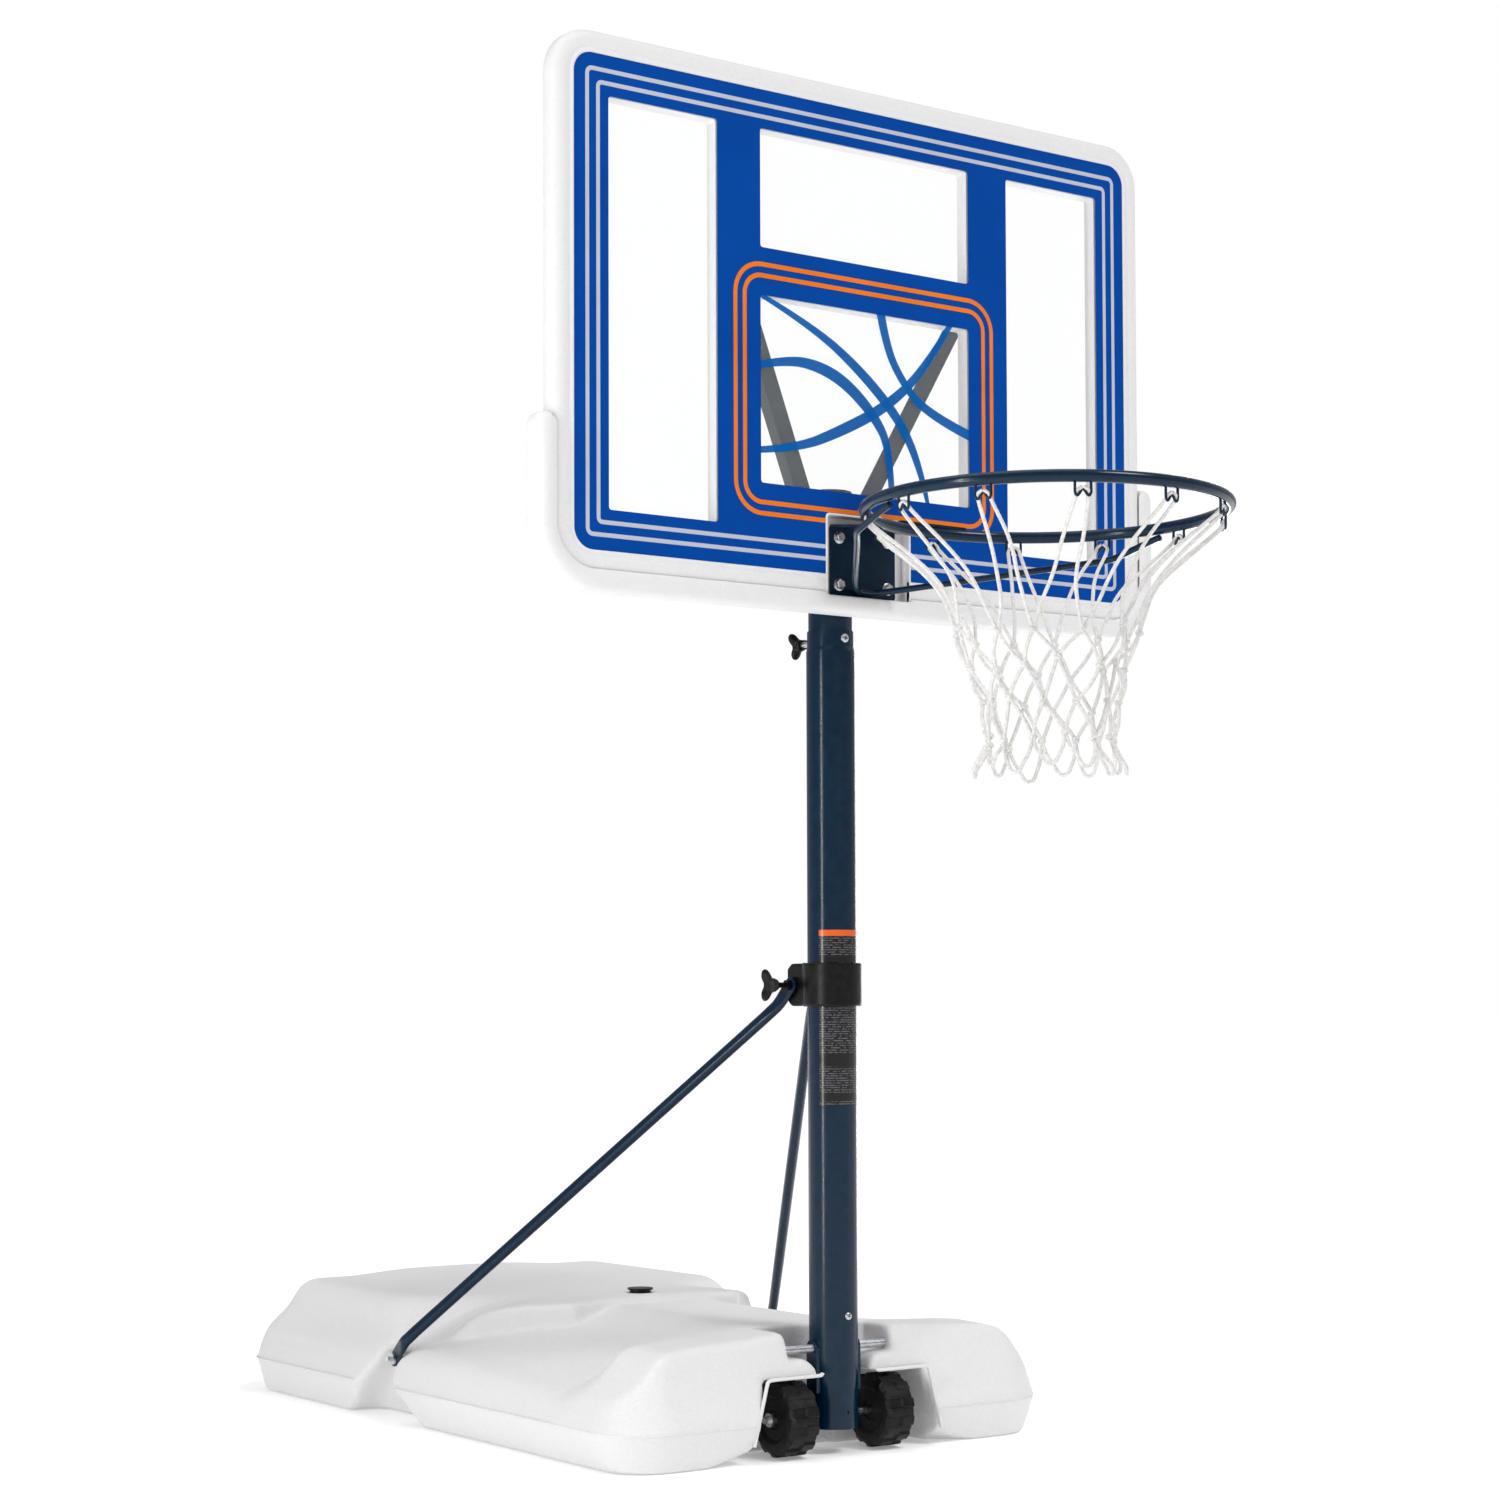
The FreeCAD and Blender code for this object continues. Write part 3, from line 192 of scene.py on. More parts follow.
def clear_sheet(name):
    """Clear sheet: nearly all light passes, with a faint gloss."""
    material, tree, shader, place = new_material(name, (0.93, 0.96, 0.98), 0.04, Alpha=0.06)
    vary_roughness(tree, shader, noise(tree, place, 4), 0.02, 0.07)
    material.surface_render_method = "BLENDED"
    return material


def cord_fibre(name):
    """Braided white cord."""
    material, tree, shader, place = new_material(name, (0.8, 0.79, 0.77), 0.85, Sheen_Weight=0.2)
    mottle(tree, shader, noise(tree, place, 180, 4), (0.66, 0.645, 0.62), (0.80, 0.79, 0.775))
    bumps(tree, shader, [(noise(tree, place, 1500, 2), 0.5, 0.0004)])
    return material


def label_print(name, low, high):
    """A black wrap with an orange band at the top and faint broken rules below, but no lettering."""
    black, grey, orange = (0.003, 0.003, 0.0034), (0.11, 0.11, 0.12), (0.72, 0.115, 0.015)
    band_start = 0.965
    material, tree, shader, place = new_material(name, black, 0.2, Specular_IOR_Level=0.4)
    rules = add_node(tree, "TexWave", place, Scale=95)
    rules.bands_direction = "Z"
    marks = add_node(tree, "Mapping", place, Scale=(260, 260, 400)).outputs["Vector"]
    blocks = add_node(tree, "Mapping", place, Scale=(6, 6, 52)).outputs["Vector"]
    shown = map_range(tree, rules.outputs["Fac"], 0.45, 0.75)
    gaps, groups = noise(tree, marks, 1.0, 1), noise(tree, blocks, 1.0, 0)
    for value, start, stop in ((gaps, 0.42, 0.5), (groups, 0.38, 0.44)):
        both = add_node(tree, "Math", shown, 0)
        both.operation = "MULTIPLY"
        tree.links.new(map_range(tree, value, start, stop), both.inputs[1])
        shown = both.outputs["Value"]
    axes = add_node(tree, "SeparateXYZ", place)
    band = add_node(tree, "Math", map_range(tree, axes.outputs["Z"], low, high), 0)
    band.operation = "GREATER_THAN"
    band.inputs[1].default_value = band_start
    whole = tree.nodes.new("ShaderNodeMix")
    whole.data_type = "RGBA"
    tree.links.new(band.outputs["Value"], whole.inputs["Factor"])
    tree.links.new(ramp(tree, shown, [(0.0, black), (1.0, grey)]), whole.inputs["A"])
    whole.inputs["B"].default_value = (*orange, 1)
    tree.links.new(whole.outputs["Result"], shader.inputs["Base Color"])
    bumps(tree, shader, [(noise(tree, place, 300, 2), 0.1, 0.0003)])
    return material


LABEL_LOW, LABEL_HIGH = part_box("pole_label")
MATERIALS = {
    "tank": white_plastic("tank_plastic", 0.77, 420, 0.0010, 0.004),
    "frame": white_plastic("frame_plastic", 0.80, 700, 0.0004, 0.002),
    "navy": powder_coat("navy_paint", (0.0003, 0.013, 0.034), (0.0006, 0.018, 0.043)),
    "brace": powder_coat("brace_paint", (0.012, 0.022, 0.032), (0.02, 0.03, 0.042)),
    "blue": printed("blue_print", (0.0004, 0.062, 0.345), (0.0004, 0.056, 0.315)),
    "seam": printed("seam_print", (0.002, 0.13, 0.46), (0.002, 0.115, 0.42), Alpha=0.86),
    "stripe": printed("stripe_print", (0.52, 0.54, 0.62), (0.48, 0.5, 0.58)),
    "orange": printed("orange_print", (0.86, 0.2, 0.015), (0.78, 0.17, 0.012)),
    "zinc": zinc("zinc_plate"),
    "thread": threaded("threaded_bar"),
    "black": black_plastic("black_moulding", (0.0022, 0.0022, 0.0026), 0.26, 0.4, 0.0003),
    "tread": black_plastic("wheel_plastic", (0.003, 0.003, 0.0034), 0.3, 0.5, 0.0005),
    "clear": clear_sheet("clear_sheet"),
    "cord": cord_fibre("braided_cord"),
    "label": label_print("label_print", LABEL_LOW.z, LABEL_HIGH.z),
}


def paint_node(name, look):
    """Give a CAD node its detailed material."""
    mesh = NODES[name].data
    mesh.materials.clear()
    mesh.materials.append(MATERIALS[look])


# Mesh helpers


def piece(name, vertices, faces, look, body, replaces=(), crease=40):
    """A finished mesh piece, smooth except at edges sharper than crease degrees, that rides a body."""
    mesh = bpy.data.meshes.new(name)
    mesh.from_pydata([tuple(v) for v in vertices], [], [tuple(f) for f in faces])
    mesh.update()
    whole = bmesh.new()
    whole.from_mesh(mesh)
    bmesh.ops.recalc_face_normals(whole, faces=whole.faces)
    whole.to_mesh(mesh)
    whole.free()
    return settle(bpy.data.objects.new(name, mesh), look, body, replaces, crease)


def settle(obj, look, body, replaces=(), crease=40):
    """Link an object, give it its material and shading, and let it ride its body."""
    if obj.name not in scene.collection.objects:
        scene.collection.objects.link(obj)
    obj.data.materials.clear()
    obj.data.materials.append(MATERIALS[look])
    obj.data.shade_smooth()
    if crease < 180:
        obj.data.set_sharp_from_angle(angle=math.radians(crease))
    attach(obj, body)
    if replaces:
        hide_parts(*replaces)
    return obj


def joined(parts):
    """One (vertices, faces) pair out of several."""
    vertices = []
    faces = []
    for some_vertices, some_faces in parts:
        start = len(vertices)
        vertices += [tuple(v) for v in some_vertices]
        faces += [tuple(start + k for k in face) for face in some_faces]
    return vertices, faces


def smooth_max(a, b, round_):
    share = np.clip(0.5 + 0.5 * (a - b) / round_, 0, 1)
    return b * (1 - share) + a * share + round_ * share * (1 - share)


def smooth_min(a, b, round_):
    return -smooth_max(-a, -b, round_)


def box_2d(x, y, half_x, half_y, round_):
    """Distance to a rounded rectangle about the origin."""
    qx = np.abs(x) - half_x + round_
    qy = np.abs(y) - half_y + round_
    outside = np.hypot(np.maximum(qx, 0), np.maximum(qy, 0))
    return outside + np.minimum(np.maximum(qx, qy), 0) - round_


def step_between(x, low, high):
    t = np.clip((x - low) / (high - low), 0, 1)
    return t * t * (3 - 2 * t)


def surface(field, low, high, step):
    """Vertices and quads of the surface where the field is zero, on a regular grid."""
    axes = [np.arange(a - 2 * step, b + 3 * step, step) for a, b in zip(low, high)]
    x, y, z = np.meshgrid(*axes, indexing="ij", sparse=True)
    values = np.ascontiguousarray(np.broadcast_to(field(x, y, z), [len(a) for a in axes]))
    cells = np.array(values.shape) - 1
    total = np.zeros((*cells, 3))
    count = np.zeros(tuple(cells))
    patches = []
    for axis in range(3):
        u, v = (axis + 1) % 3, (axis + 2) % 3
        first = [slice(None)] * 3
        second = [slice(None)] * 3
        first[axis] = slice(0, -1)
        second[axis] = slice(1, None)
        start, stop = values[tuple(first)], values[tuple(second)]
        spots = np.argwhere((start < 0) != (stop < 0))
        inner = (spots[:, u] > 0) & (spots[:, u] < cells[u]) & (spots[:, v] > 0) & (spots[:, v] < cells[v])
        spots = spots[inner]
        a, b = start[tuple(spots.T)], stop[tuple(spots.T)]
        crossing = spots.astype(float)
        crossing[:, axis] += a / (a - b)
        around = []
        for du, dv in ((0, 0), (1, 0), (1, 1), (0, 1)):
            cell = spots.copy()
            cell[:, u] -= du
            cell[:, v] -= dv
            np.add.at(total, tuple(cell.T), crossing)
            np.add.at(count, tuple(cell.T), 1)
            around.append(cell)
        patches.append((around, a < 0))
    used = count > 0
    number = np.full(tuple(cells), -1)
    number[used] = np.arange(used.sum())
    origin = np.array([a[0] for a in axes])
    vertices = total[used] / count[used][:, None] * step + origin
    faces = []
    for around, outward in patches:
        quad = np.stack([number[tuple(cell.T)] for cell in around], axis=1)
        quad[~outward] = quad[~outward][:, ::-1]
        faces.append(quad)
    return vertices, np.concatenate(faces)


def relax(vertices, faces, rounds, share=0.5):
    """Even out the vertices towards the middle of their neighbours."""
    ends = np.concatenate([faces[:, [0, 1]], faces[:, [1, 2]], faces[:, [2, 3]], faces[:, [3, 0]]])
    for _ in range(rounds):
        total = np.zeros_like(vertices)
        count = np.zeros(len(vertices))
        for a, b in ((0, 1), (1, 0)):
            np.add.at(total, ends[:, a], vertices[ends[:, b]])
            np.add.at(count, ends[:, a], 1)
        vertices = vertices + share * (total / count[:, None] - vertices)
    return vertices


def moulded(name, field, low, high, step, look, body, replaces, place, rounds=1, crease=180):
    """A rounded moulding: the zero surface of a field, set in its place by a matrix."""
    vertices, faces = surface(field, low, high, step)
    turn = np.array(place)
    vertices = relax(vertices, faces, rounds) @ turn[:3, :3].T + turn[:3, 3]
    mesh = bpy.data.meshes.new(name)
    mesh.from_pydata(vertices.tolist(), [], faces.tolist())
    return settle(bpy.data.objects.new(name, mesh), look, body, replaces, crease)


def loft(loops, capped=True, closed=False):
    """Quads between loops of equally many points; closed joins the last loop to the first."""
    count = len(loops[0])
    vertices = [tuple(p) for loop in loops for p in loop]
    faces = []
    for row in range(len(loops) if closed else len(loops) - 1):
        start = row * count
        following = (row + 1) % len(loops) * count
        for k in range(count):
            after = (k + 1) % count
            faces.append((start + k, start + after, following + after, following + k))
    if capped and not closed:
        faces.append(tuple(range(count)))
        faces.append(tuple((len(loops) - 1) * count + k for k in range(count)))
    return vertices, faces


def tube(points, radius, sides=12, wobble=0.0):
    """A round tube through points; wobble raises every other point in a check, like a braid."""
    points = [Vector(p) for p in points]
    loops = []
    side = None
    for k, point in enumerate(points):
        ahead = points[min(k + 1, len(points) - 1)] - points[max(k - 1, 0)]
        ahead.normalize()
        if side is None:
            side = ahead.orthogonal().normalized()
        side = (side - ahead * side.dot(ahead)).normalized()
        up = ahead.cross(side)
        loop = []
        for j in range(sides):
            turn = 2 * math.pi * j / sides
            reach = radius * (1 + wobble * (1 if (j + k) % 2 else -1))
            loop.append(point + (side * math.cos(turn) + up * math.sin(turn)) * reach)
        loops.append(loop)
    return loft(loops)


def curve_through(points, spacing, order=4):
    """Points about a spacing apart along a smooth NURBS curve that runs near the given ones."""
    data = bpy.data.curves.new("route", "CURVE")
    data.dimensions = "3D"
    spline = data.splines.new("NURBS")
    spline.points.add(len(points) - 1)
    for spot, point in zip(spline.points, points):
        spot.co = (*point, 1)
    spline.order_u = min(order, len(points))
    spline.use_endpoint_u = True
    length = sum((Vector(b) - Vector(a)).length for a, b in zip(points, points[1:]))
    spline.resolution_u = max(2, round(length / spacing / (len(points) - 1)))
    holder = bpy.data.objects.new("route", data)
    mesh = bpy.data.meshes.new_from_object(holder)
    route = [v.co.copy() for v in mesh.vertices]
    bpy.data.objects.remove(holder)
    bpy.data.curves.remove(data)
    bpy.data.meshes.remove(mesh)
    return route


def axes_about(direction):
    """The unit vector of a direction and two more at right angles to it."""
    ahead = Vector(direction).normalized()
    side = ahead.orthogonal().normalized()
    return ahead, side, ahead.cross(side)


def circle(centre, side, up, radius, count):
    """Points round a circle in the plane of side and up."""
    turns = [2 * math.pi * k / count for k in range(count)]
    return [centre + (side * math.cos(t) + up * math.sin(t)) * radius for t in turns]


def lathe(profile, centre, axis, sides=48):
    """A solid turned about an axis; the profile is (radius, distance along the axis) pairs."""
    ahead, side, up = axes_about(axis)
    foot = Vector(centre)
    return loft([circle(foot + ahead * along, side, up, radius, sides) for radius, along in profile])


def rounded_loop(half_wide, low, high, radius, outset=0.0, arc=10, gap=0.0):
    """Points in (x, z) round a rectangle about x = 0, moved out by outset. With a gap the loop is
    open, and runs from +gap to -gap along the bottom the long way round."""
    radius = radius + outset
    wide = half_wide + outset
    base, top = low - outset, high + outset
    corners = [(wide - radius, base + radius, -90), (wide - radius, top - radius, 0),
               (radius - wide, top - radius, 90), (radius - wide, base + radius, 180)]
    points = [(gap, base)] if gap else []
    for x, z, start in corners:
        for k in range(arc + 1):
            turn = math.radians(start + 90 * k / arc)
            points.append((x + radius * math.cos(turn), z + radius * math.sin(turn)))
    if gap:
        points.append((-gap, base))
    return points


def framed(outline, profile, open_ends):
    """Sweep a closed (outset, y) profile round a loop made by outline(outset)."""
    rings = [[(x, y, z) for x, z in outline(outset)] for outset, y in profile]
    stations = [[ring[k] for ring in rings] for k in range(len(rings[0]))]
    return loft(stations, capped=open_ends, closed=not open_ends)


def flat_plate(name, outlines, front, back, look, body, replaces=(), bevel=0.0):
    """A plate with holes between two y levels; the first outline is its edge, in (x, z)."""
    data = bpy.data.curves.new(name, "CURVE")
    data.dimensions = "2D"
    data.fill_mode = "BOTH"
    data.extrude = (back - front) / 2 - bevel
    data.bevel_depth = bevel
    data.bevel_resolution = 2
    data.offset = -bevel
    for outline in outlines:
        spline = data.splines.new("POLY")
        spline.points.add(len(outline) - 1)
        for spot, (x, z) in zip(spline.points, outline):
            spot.co = (x, z, 0, 1)
        spline.use_cyclic_u = True
    holder = bpy.data.objects.new(name + "_curve", data)
    mesh = bpy.data.meshes.new_from_object(holder)
    bpy.data.objects.remove(holder)
    bpy.data.curves.remove(data)
    upright = Matrix.Translation((0, (front + back) / 2, 0)) @ Matrix.Rotation(math.pi / 2, 4, "X")
    mesh.transform(upright)
    mesh.name = name
    return settle(bpy.data.objects.new(name, mesh), look, body, replaces, 30)


def rectangle(left, low, right, high, radius=0.004):
    """A rounded rectangle as (x, z) points."""
    centre = (left + right) / 2
    return [(x + centre, z) for x, z in rounded_loop((right - left) / 2, low, high, radius, arc=5)]


# Ballast tank

TANK_HALF = 0.3805
TANK_FRONT = -0.0445
TANK_REAR = 1.1495
TANK_CORNER = 0.085
PART_LINE = 0.055
WELL_TOP = 0.114
SLOT_BACK = 0.076
SHELF_ROUND = 0.024
NOTCH_Y = 0.67


def tank_field(x, y, z):
    """The tank's shape; y is measured from the pole axis."""
    mid_y = (TANK_FRONT + TANK_REAR) / 2
    half_y = (TANK_REAR - TANK_FRONT) / 2
    ax = np.abs(x)
    plan = box_2d(x, y - mid_y, TANK_HALF, half_y, TANK_CORNER)
    lower = plan + np.maximum(PART_LINE - z, 0) * 0.32 + np.maximum(z - PART_LINE, 0) * 0.30
    # the lower tray, whose deck rises gently inwards
    edge_drop = np.clip(0.5 - y, 0, 0.45) * 0.045 * np.clip((ax - 0.2) / 0.14, 0, 1)
    deck = 0.107 - edge_drop + np.clip(0.36 - ax, 0, 0.27) * 0.19
    tray = smooth_max(lower, (z - deck) * 0.97, 0.03)
    # the rear lobe
    rear = box_2d(x, y - 0.885, 0.326, 0.254, 0.07) + (z - 0.11) * 0.34
    rear = smooth_max(rear, z - 0.180, 0.034)
    # the raised middle with its curved front edge
    edge = 0.425 + 0.05 * np.square(np.clip(x / 0.2, -1, 1)) + np.clip(ax - 0.15, 0, 1) * 0.9
    crown_top = 0.1865 - 0.5 * np.square(np.clip(ax - 0.05, 0, 1))
    crown = smooth_max((edge - y) * 0.42, z - crown_top, 0.006)
    crown = smooth_max(crown, box_2d(x, y - 0.78, 0.30, 0.36, 0.08) + (z - 0.12) * 0.3, 0.03)
    # the front blocks each side of the pole
    block = box_2d(ax - 0.207, y - 0.036, 0.118, 0.0795, 0.035) + (z - 0.13) * 0.75
    block_top = 0.166 - np.clip(ax - 0.24, 0, 1) * 0.08 + np.clip(y, 0, 1) * 0.03
    block = smooth_max(block, z - block_top, 0.022)
    spine = box_2d(x, y - 0.25, 0.150, 0.30, 0.06) + (z - 0.12) * 1.1
    spine = smooth_max(spine, z - 0.166, 0.03)
    body = smooth_min(tray, rear, 0.045)
    body = smooth_min(body, block, 0.05)
    body = smooth_min(body, spine, 0.05)
    body = smooth_min(body, crown, 0.006)
    # the groove that each strut lies in
    groove_low = 0.110 + np.clip(0.36 - ax, 0, 1) * 0.27
    bend = 0.655 - np.clip(0.36 - ax, 0, 1) * 0.25
    groove_rise = np.maximum(np.abs(y - bend) - 0.022, 0) * 0.9 + np.clip(0.30 - ax, 0, 1) * 0.25
    groove = (z - groove_low - groove_rise) * 0.75
    body = smooth_max(body, groove, 0.03)
    body = smooth_max(body, lower, 0.008)
    # a shallow recessed panel on each side of the lobe
    panel = np.maximum(np.abs(y - 0.94) - 0.085, np.abs(z - 0.098) - 0.011)
    body = smooth_max(body, -np.maximum(panel, -(lower + 0.004)), 0.004)
    # underside, lifted beside the wheels
    lift = 0.026 - np.clip(ax - 0.17, 0, 1) * 0.26 - np.clip(y + 0.045, 0, 1) * 0.4
    body = smooth_max(body, np.maximum(lift, 0.0) - z, 0.008)
    # notch at each side
    wedge = (z - 0.104 + np.abs(y - NOTCH_Y) * 0.95) / 1.38
    notch = smooth_max(wedge, 0.312 - ax, 0.03)
    body = smooth_max(body, -notch, 0.014)
    slit = np.maximum(np.maximum(np.abs(ax - 0.352) - 0.017, np.abs(y - 0.655) - 0.03), 0.07 - z)
    body = smooth_max(body, -slit, 0.006)
    # wheel wells, the shelf above them and the slot for the pole
    well = np.maximum(np.maximum(ax - 0.140 - (WELL_TOP - z) * 0.24, y - 0.062), z - WELL_TOP)
    body = smooth_max(body, -well, 0.004)
    beside = np.clip(0.070 - ax, 0, SHELF_ROUND)
    shelf_low = WELL_TOP + np.sqrt(np.maximum(SHELF_ROUND ** 2 - np.square(beside), 0.007 ** 2))
    shelf = smooth_max(smooth_max(ax - 0.09, y - SLOT_BACK, 0.01), shelf_low - z, 0.006)
    body = smooth_max(body, -shelf, 0.008)
    slot = np.maximum(ax - 0.0455, y - SLOT_BACK)
    body = smooth_max(body, -slot, 0.004)
    # filling hole
    hole = np.maximum(np.hypot(x, y - 0.505) - 0.0172, 0.172 - z)
    return smooth_max(body, -hole, 0.003)


def well_lips():
    """The raised bead along each side of the wheel openings."""
    y = POLE_Y + TANK_FRONT + 0.0062
    corners = [(0.1650, 0.026), (0.1525, 0.074), (0.1435, 0.1085), (0.1415, 0.1140), (0.1350, 0.1156),
               (0.0900, 0.1156), (0.0520, 0.1156), (0.0488, 0.1166), (0.0478, 0.1190)]
    parts = []
    for side in (-1, 1):
        points = [(side * x, y, z) for x, z in corners]
        parts.append(tube(curve_through(points, 0.003, 3), 0.0026, 10))
    piece("tank_well_lips", *joined(parts), "tank", "base", crease=60)


def tank_seam():
    """The fine raised line that the mould leaves round the tank, broken at the openings."""
    half_y = (TANK_REAR - TANK_FRONT) / 2
    centre_y = POLE_Y + (TANK_FRONT + TANK_REAR) / 2
    loop = rounded_loop(TANK_HALF, -half_y, half_y, TANK_CORNER, -0.0008, 14)
    outline = [(x, z + centre_y) for x, z in loop]
    dense = []
    for (xa, ya), (xb, yb) in zip(outline, outline[1:] + outline[:1]):
        pieces = max(1, round(math.hypot(xb - xa, yb - ya) / 0.012))
        dense += [(xa + (xb - xa) * k / pieces, ya + (yb - ya) * k / pieces) for k in range(pieces)]
    runs = [[]]
    for x, y in dense + dense[:1]:
        across = y - POLE_Y
        open_well = abs(x) < 0.156 and across < 0.1
        open_notch = abs(x) > 0.3 and abs(across - NOTCH_Y) < 0.058
        if open_well or open_notch:
            runs.append([])
        else:
            runs[-1].append((x, y, PART_LINE))
    parts = [tube(run, 0.0011, 8) for run in runs if len(run) > 3]
    piece("tank_parting_line", *joined(parts), "tank", "base", crease=60)


def build_tank():
    step = 0.004
    moulded("tank_skin", tank_field, (-0.381, -0.045, 0.0), (0.381, 1.15, 0.19), step, "tank", "base",
            ["base_tank"], Matrix.Translation((0, POLE_Y, 0)), rounds=2)
    tank_seam()
    well_lips()


# Board


FRAME_EDGE = 0.032
FRAME_BACK = 0.025
RECESS_HALF = 0.072
RECESS_TOP = 1.319
RECESS_FLOOR = 0.016
PANEL_THICK = 0.003
SKIN = 0.0065
RIB = 0.004
SIDE_IN, SIDE_OUT, MID = 0.257, 0.4325, 0.185
LOW, TOP = 1.2915, 1.8455
LOWER_LOW, LOWER_TOP, UPPER_LOW = 1.353, 1.6135, 1.680
PANEL_ROUND = 0.029
BOSS_LOW, BOSS_TOP = 1.655, 1.716
LIP_WIDE = 0.003
RECESS_OUT = RECESS_HALF + LIP_WIDE
OVERLAP = 0.0003
PLATE_FRONT = BOARD_Y + 0.012
# the ball's lines: name, (x, z) points, width at the ends, width in the middle
BALL_SEAMS = [
    ("seam_a", [(-0.186, 1.614), (-0.093, 1.580), (-0.005, 1.524), (0.066, 1.458), (0.100, 1.385),
                (0.108, 1.350)], 0.007, 0.016),
    ("seam_b", [(-0.188, 1.516), (-0.137, 1.529), (-0.088, 1.527), (-0.040, 1.510), (0.010, 1.470),
                (0.040, 1.425), (0.043, 1.350)], 0.010, 0.018),
    ("seam_c", [(-0.188, 1.398), (-0.120, 1.408), (-0.050, 1.438), (0.030, 1.480), (0.100, 1.540),
                (0.152, 1.617)], 0.009, 0.016),
    ("seam_d", [(0.024, 1.617), (0.034, 1.570), (0.060, 1.525), (0.105, 1.482), (0.188, 1.458)],
     0.015, 0.013),
]


def panel_outline(outset, gap=0.0):
    return rounded_loop(PANEL_HALF, PANEL_LOW.z, PANEL_HIGH.z, PANEL_ROUND, outset, 10, gap)


def with_recess(outline):
    """Close an open outline round the recess for the rim bracket."""
    return outline + [(-RECESS_HALF, RECESS_TOP), (RECESS_HALF, RECESS_TOP)]


def window_outlines():
    return [
        rectangle(-SIDE_OUT, LOW, -SIDE_IN, TOP), rectangle(SIDE_IN, LOW, SIDE_OUT, TOP),
        rectangle(-MID, LOWER_LOW, MID, LOWER_TOP), rectangle(-MID, UPPER_LOW, MID, TOP),
    ]


def board_rim():
    """The frame's rounded border, open where the rim bracket sits."""
    y = BOARD_Y
    front = [(0.0, 0.0030), (0.0, -0.0012), (0.0012, -0.0019), (0.0045, -0.0020), (0.0058, -0.0012),
             (0.0072, -0.0006), (0.0088, -0.0013), (0.0105, -0.0019), (0.0180, -0.0019), (0.0235, -0.0012),
             (0.0275, 0.0005), (0.0302, 0.0034), (0.0316, 0.0072), (0.0320, 0.0115)]
    back = [(0.0320, 0.0240), (0.0312, FRAME_BACK), (0.0290, FRAME_BACK), (0.0282, 0.0240), (0.0282, SKIN),
            (-0.003, SKIN), (-0.003, 0.0030)]
    profile = [(outset, y + depth) for outset, depth in front + back]
    vertices, faces = framed(lambda outset: panel_outline(outset, RECESS_HALF), profile, True)
    piece("frame_border", vertices, faces, "frame", "head", ["board_frame"], 50)


def board_web():
    """The moulded sheet behind the panel, the ribs behind that, and the recess floor."""
    y = BOARD_Y
    edge = PANEL_HALF + FRAME_EDGE - RIB
    bottom, top = PANEL_LOW.z - FRAME_EDGE, PANEL_HIGH.z + FRAME_EDGE
    flat_plate("frame_sheet", [with_recess(panel_outline(-0.0005, RECESS_HALF)), *window_outlines()],
               y + PANEL_THICK + OVERLAP, y + SKIN, "frame", "head")
    rib_edge = with_recess(panel_outline(FRAME_EDGE - RIB + 0.001, RECESS_HALF))
    hollows = [
        (SIDE_OUT + RIB, LOW, edge - 0.001, TOP),
        (MID + RIB, LOW, SIDE_IN - RIB, BOSS_LOW),
        (MID + RIB, BOSS_TOP, SIDE_IN - RIB, TOP),
        (RECESS_HALF + 2 * RIB, bottom + RIB + 0.004, SIDE_OUT, LOW - RIB),
        (RIB, TOP + RIB, SIDE_OUT, top - RIB - 0.004),
        (RIB, LOWER_TOP + RIB, MID - RIB, UPPER_LOW - RIB),
    ]
    holes = []
    for left, base, right, lid in hollows:
        holes.append(rectangle(left, base, right, lid, 0.003))
        holes.append(rectangle(-right, base, -left, lid, 0.003))
    flat_plate("frame_ribs", [rib_edge, *window_outlines(), *holes],
               y + SKIN - OVERLAP, y + FRAME_BACK - 0.0004, "frame", "head", bevel=0.0008)
    flat_plate("frame_recess", [rectangle(-RECESS_OUT, bottom, RECESS_OUT, RECESS_TOP + LIP_WIDE)],
               y + RECESS_FLOOR, y + FRAME_BACK - 0.001, "frame", "head")
    lip = [(0.0, 0.004), (0.0, -0.0016), (0.0008, -0.0022), (0.0022, -0.0022), (LIP_WIDE, -0.0016),
           (LIP_WIDE, 0.012), (0.0, RECESS_FLOOR + 0.001), (-0.0005, RECESS_FLOOR)]
    corner = 0.006

    def arch(outset):
        x, z = RECESS_HALF + outset, RECESS_TOP + outset
        points = [(x, bottom + 0.001)]
        for start, middle_x in ((0, x - corner), (90, corner - x)):
            for k in range(6):
                turn = math.radians(start + 18 * k)
                points.append((middle_x + corner * math.cos(turn), z - corner + corner * math.sin(turn)))
        return points + [(-x, bottom + 0.001)]

    section = [(outset, y + depth) for outset, depth in lip]
    piece("frame_recess_lip", *framed(arch, section, True), "frame", "head")


def print_section(middle_out, wide):
    """The section of a printed line, as (outset, y) corners."""
    near, far = BOARD_Y - 0.0007, BOARD_Y - 0.0009
    low, high = middle_out - wide / 2, middle_out + wide / 2
    return [(low, near), (high, near), (high, far), (low, far)]


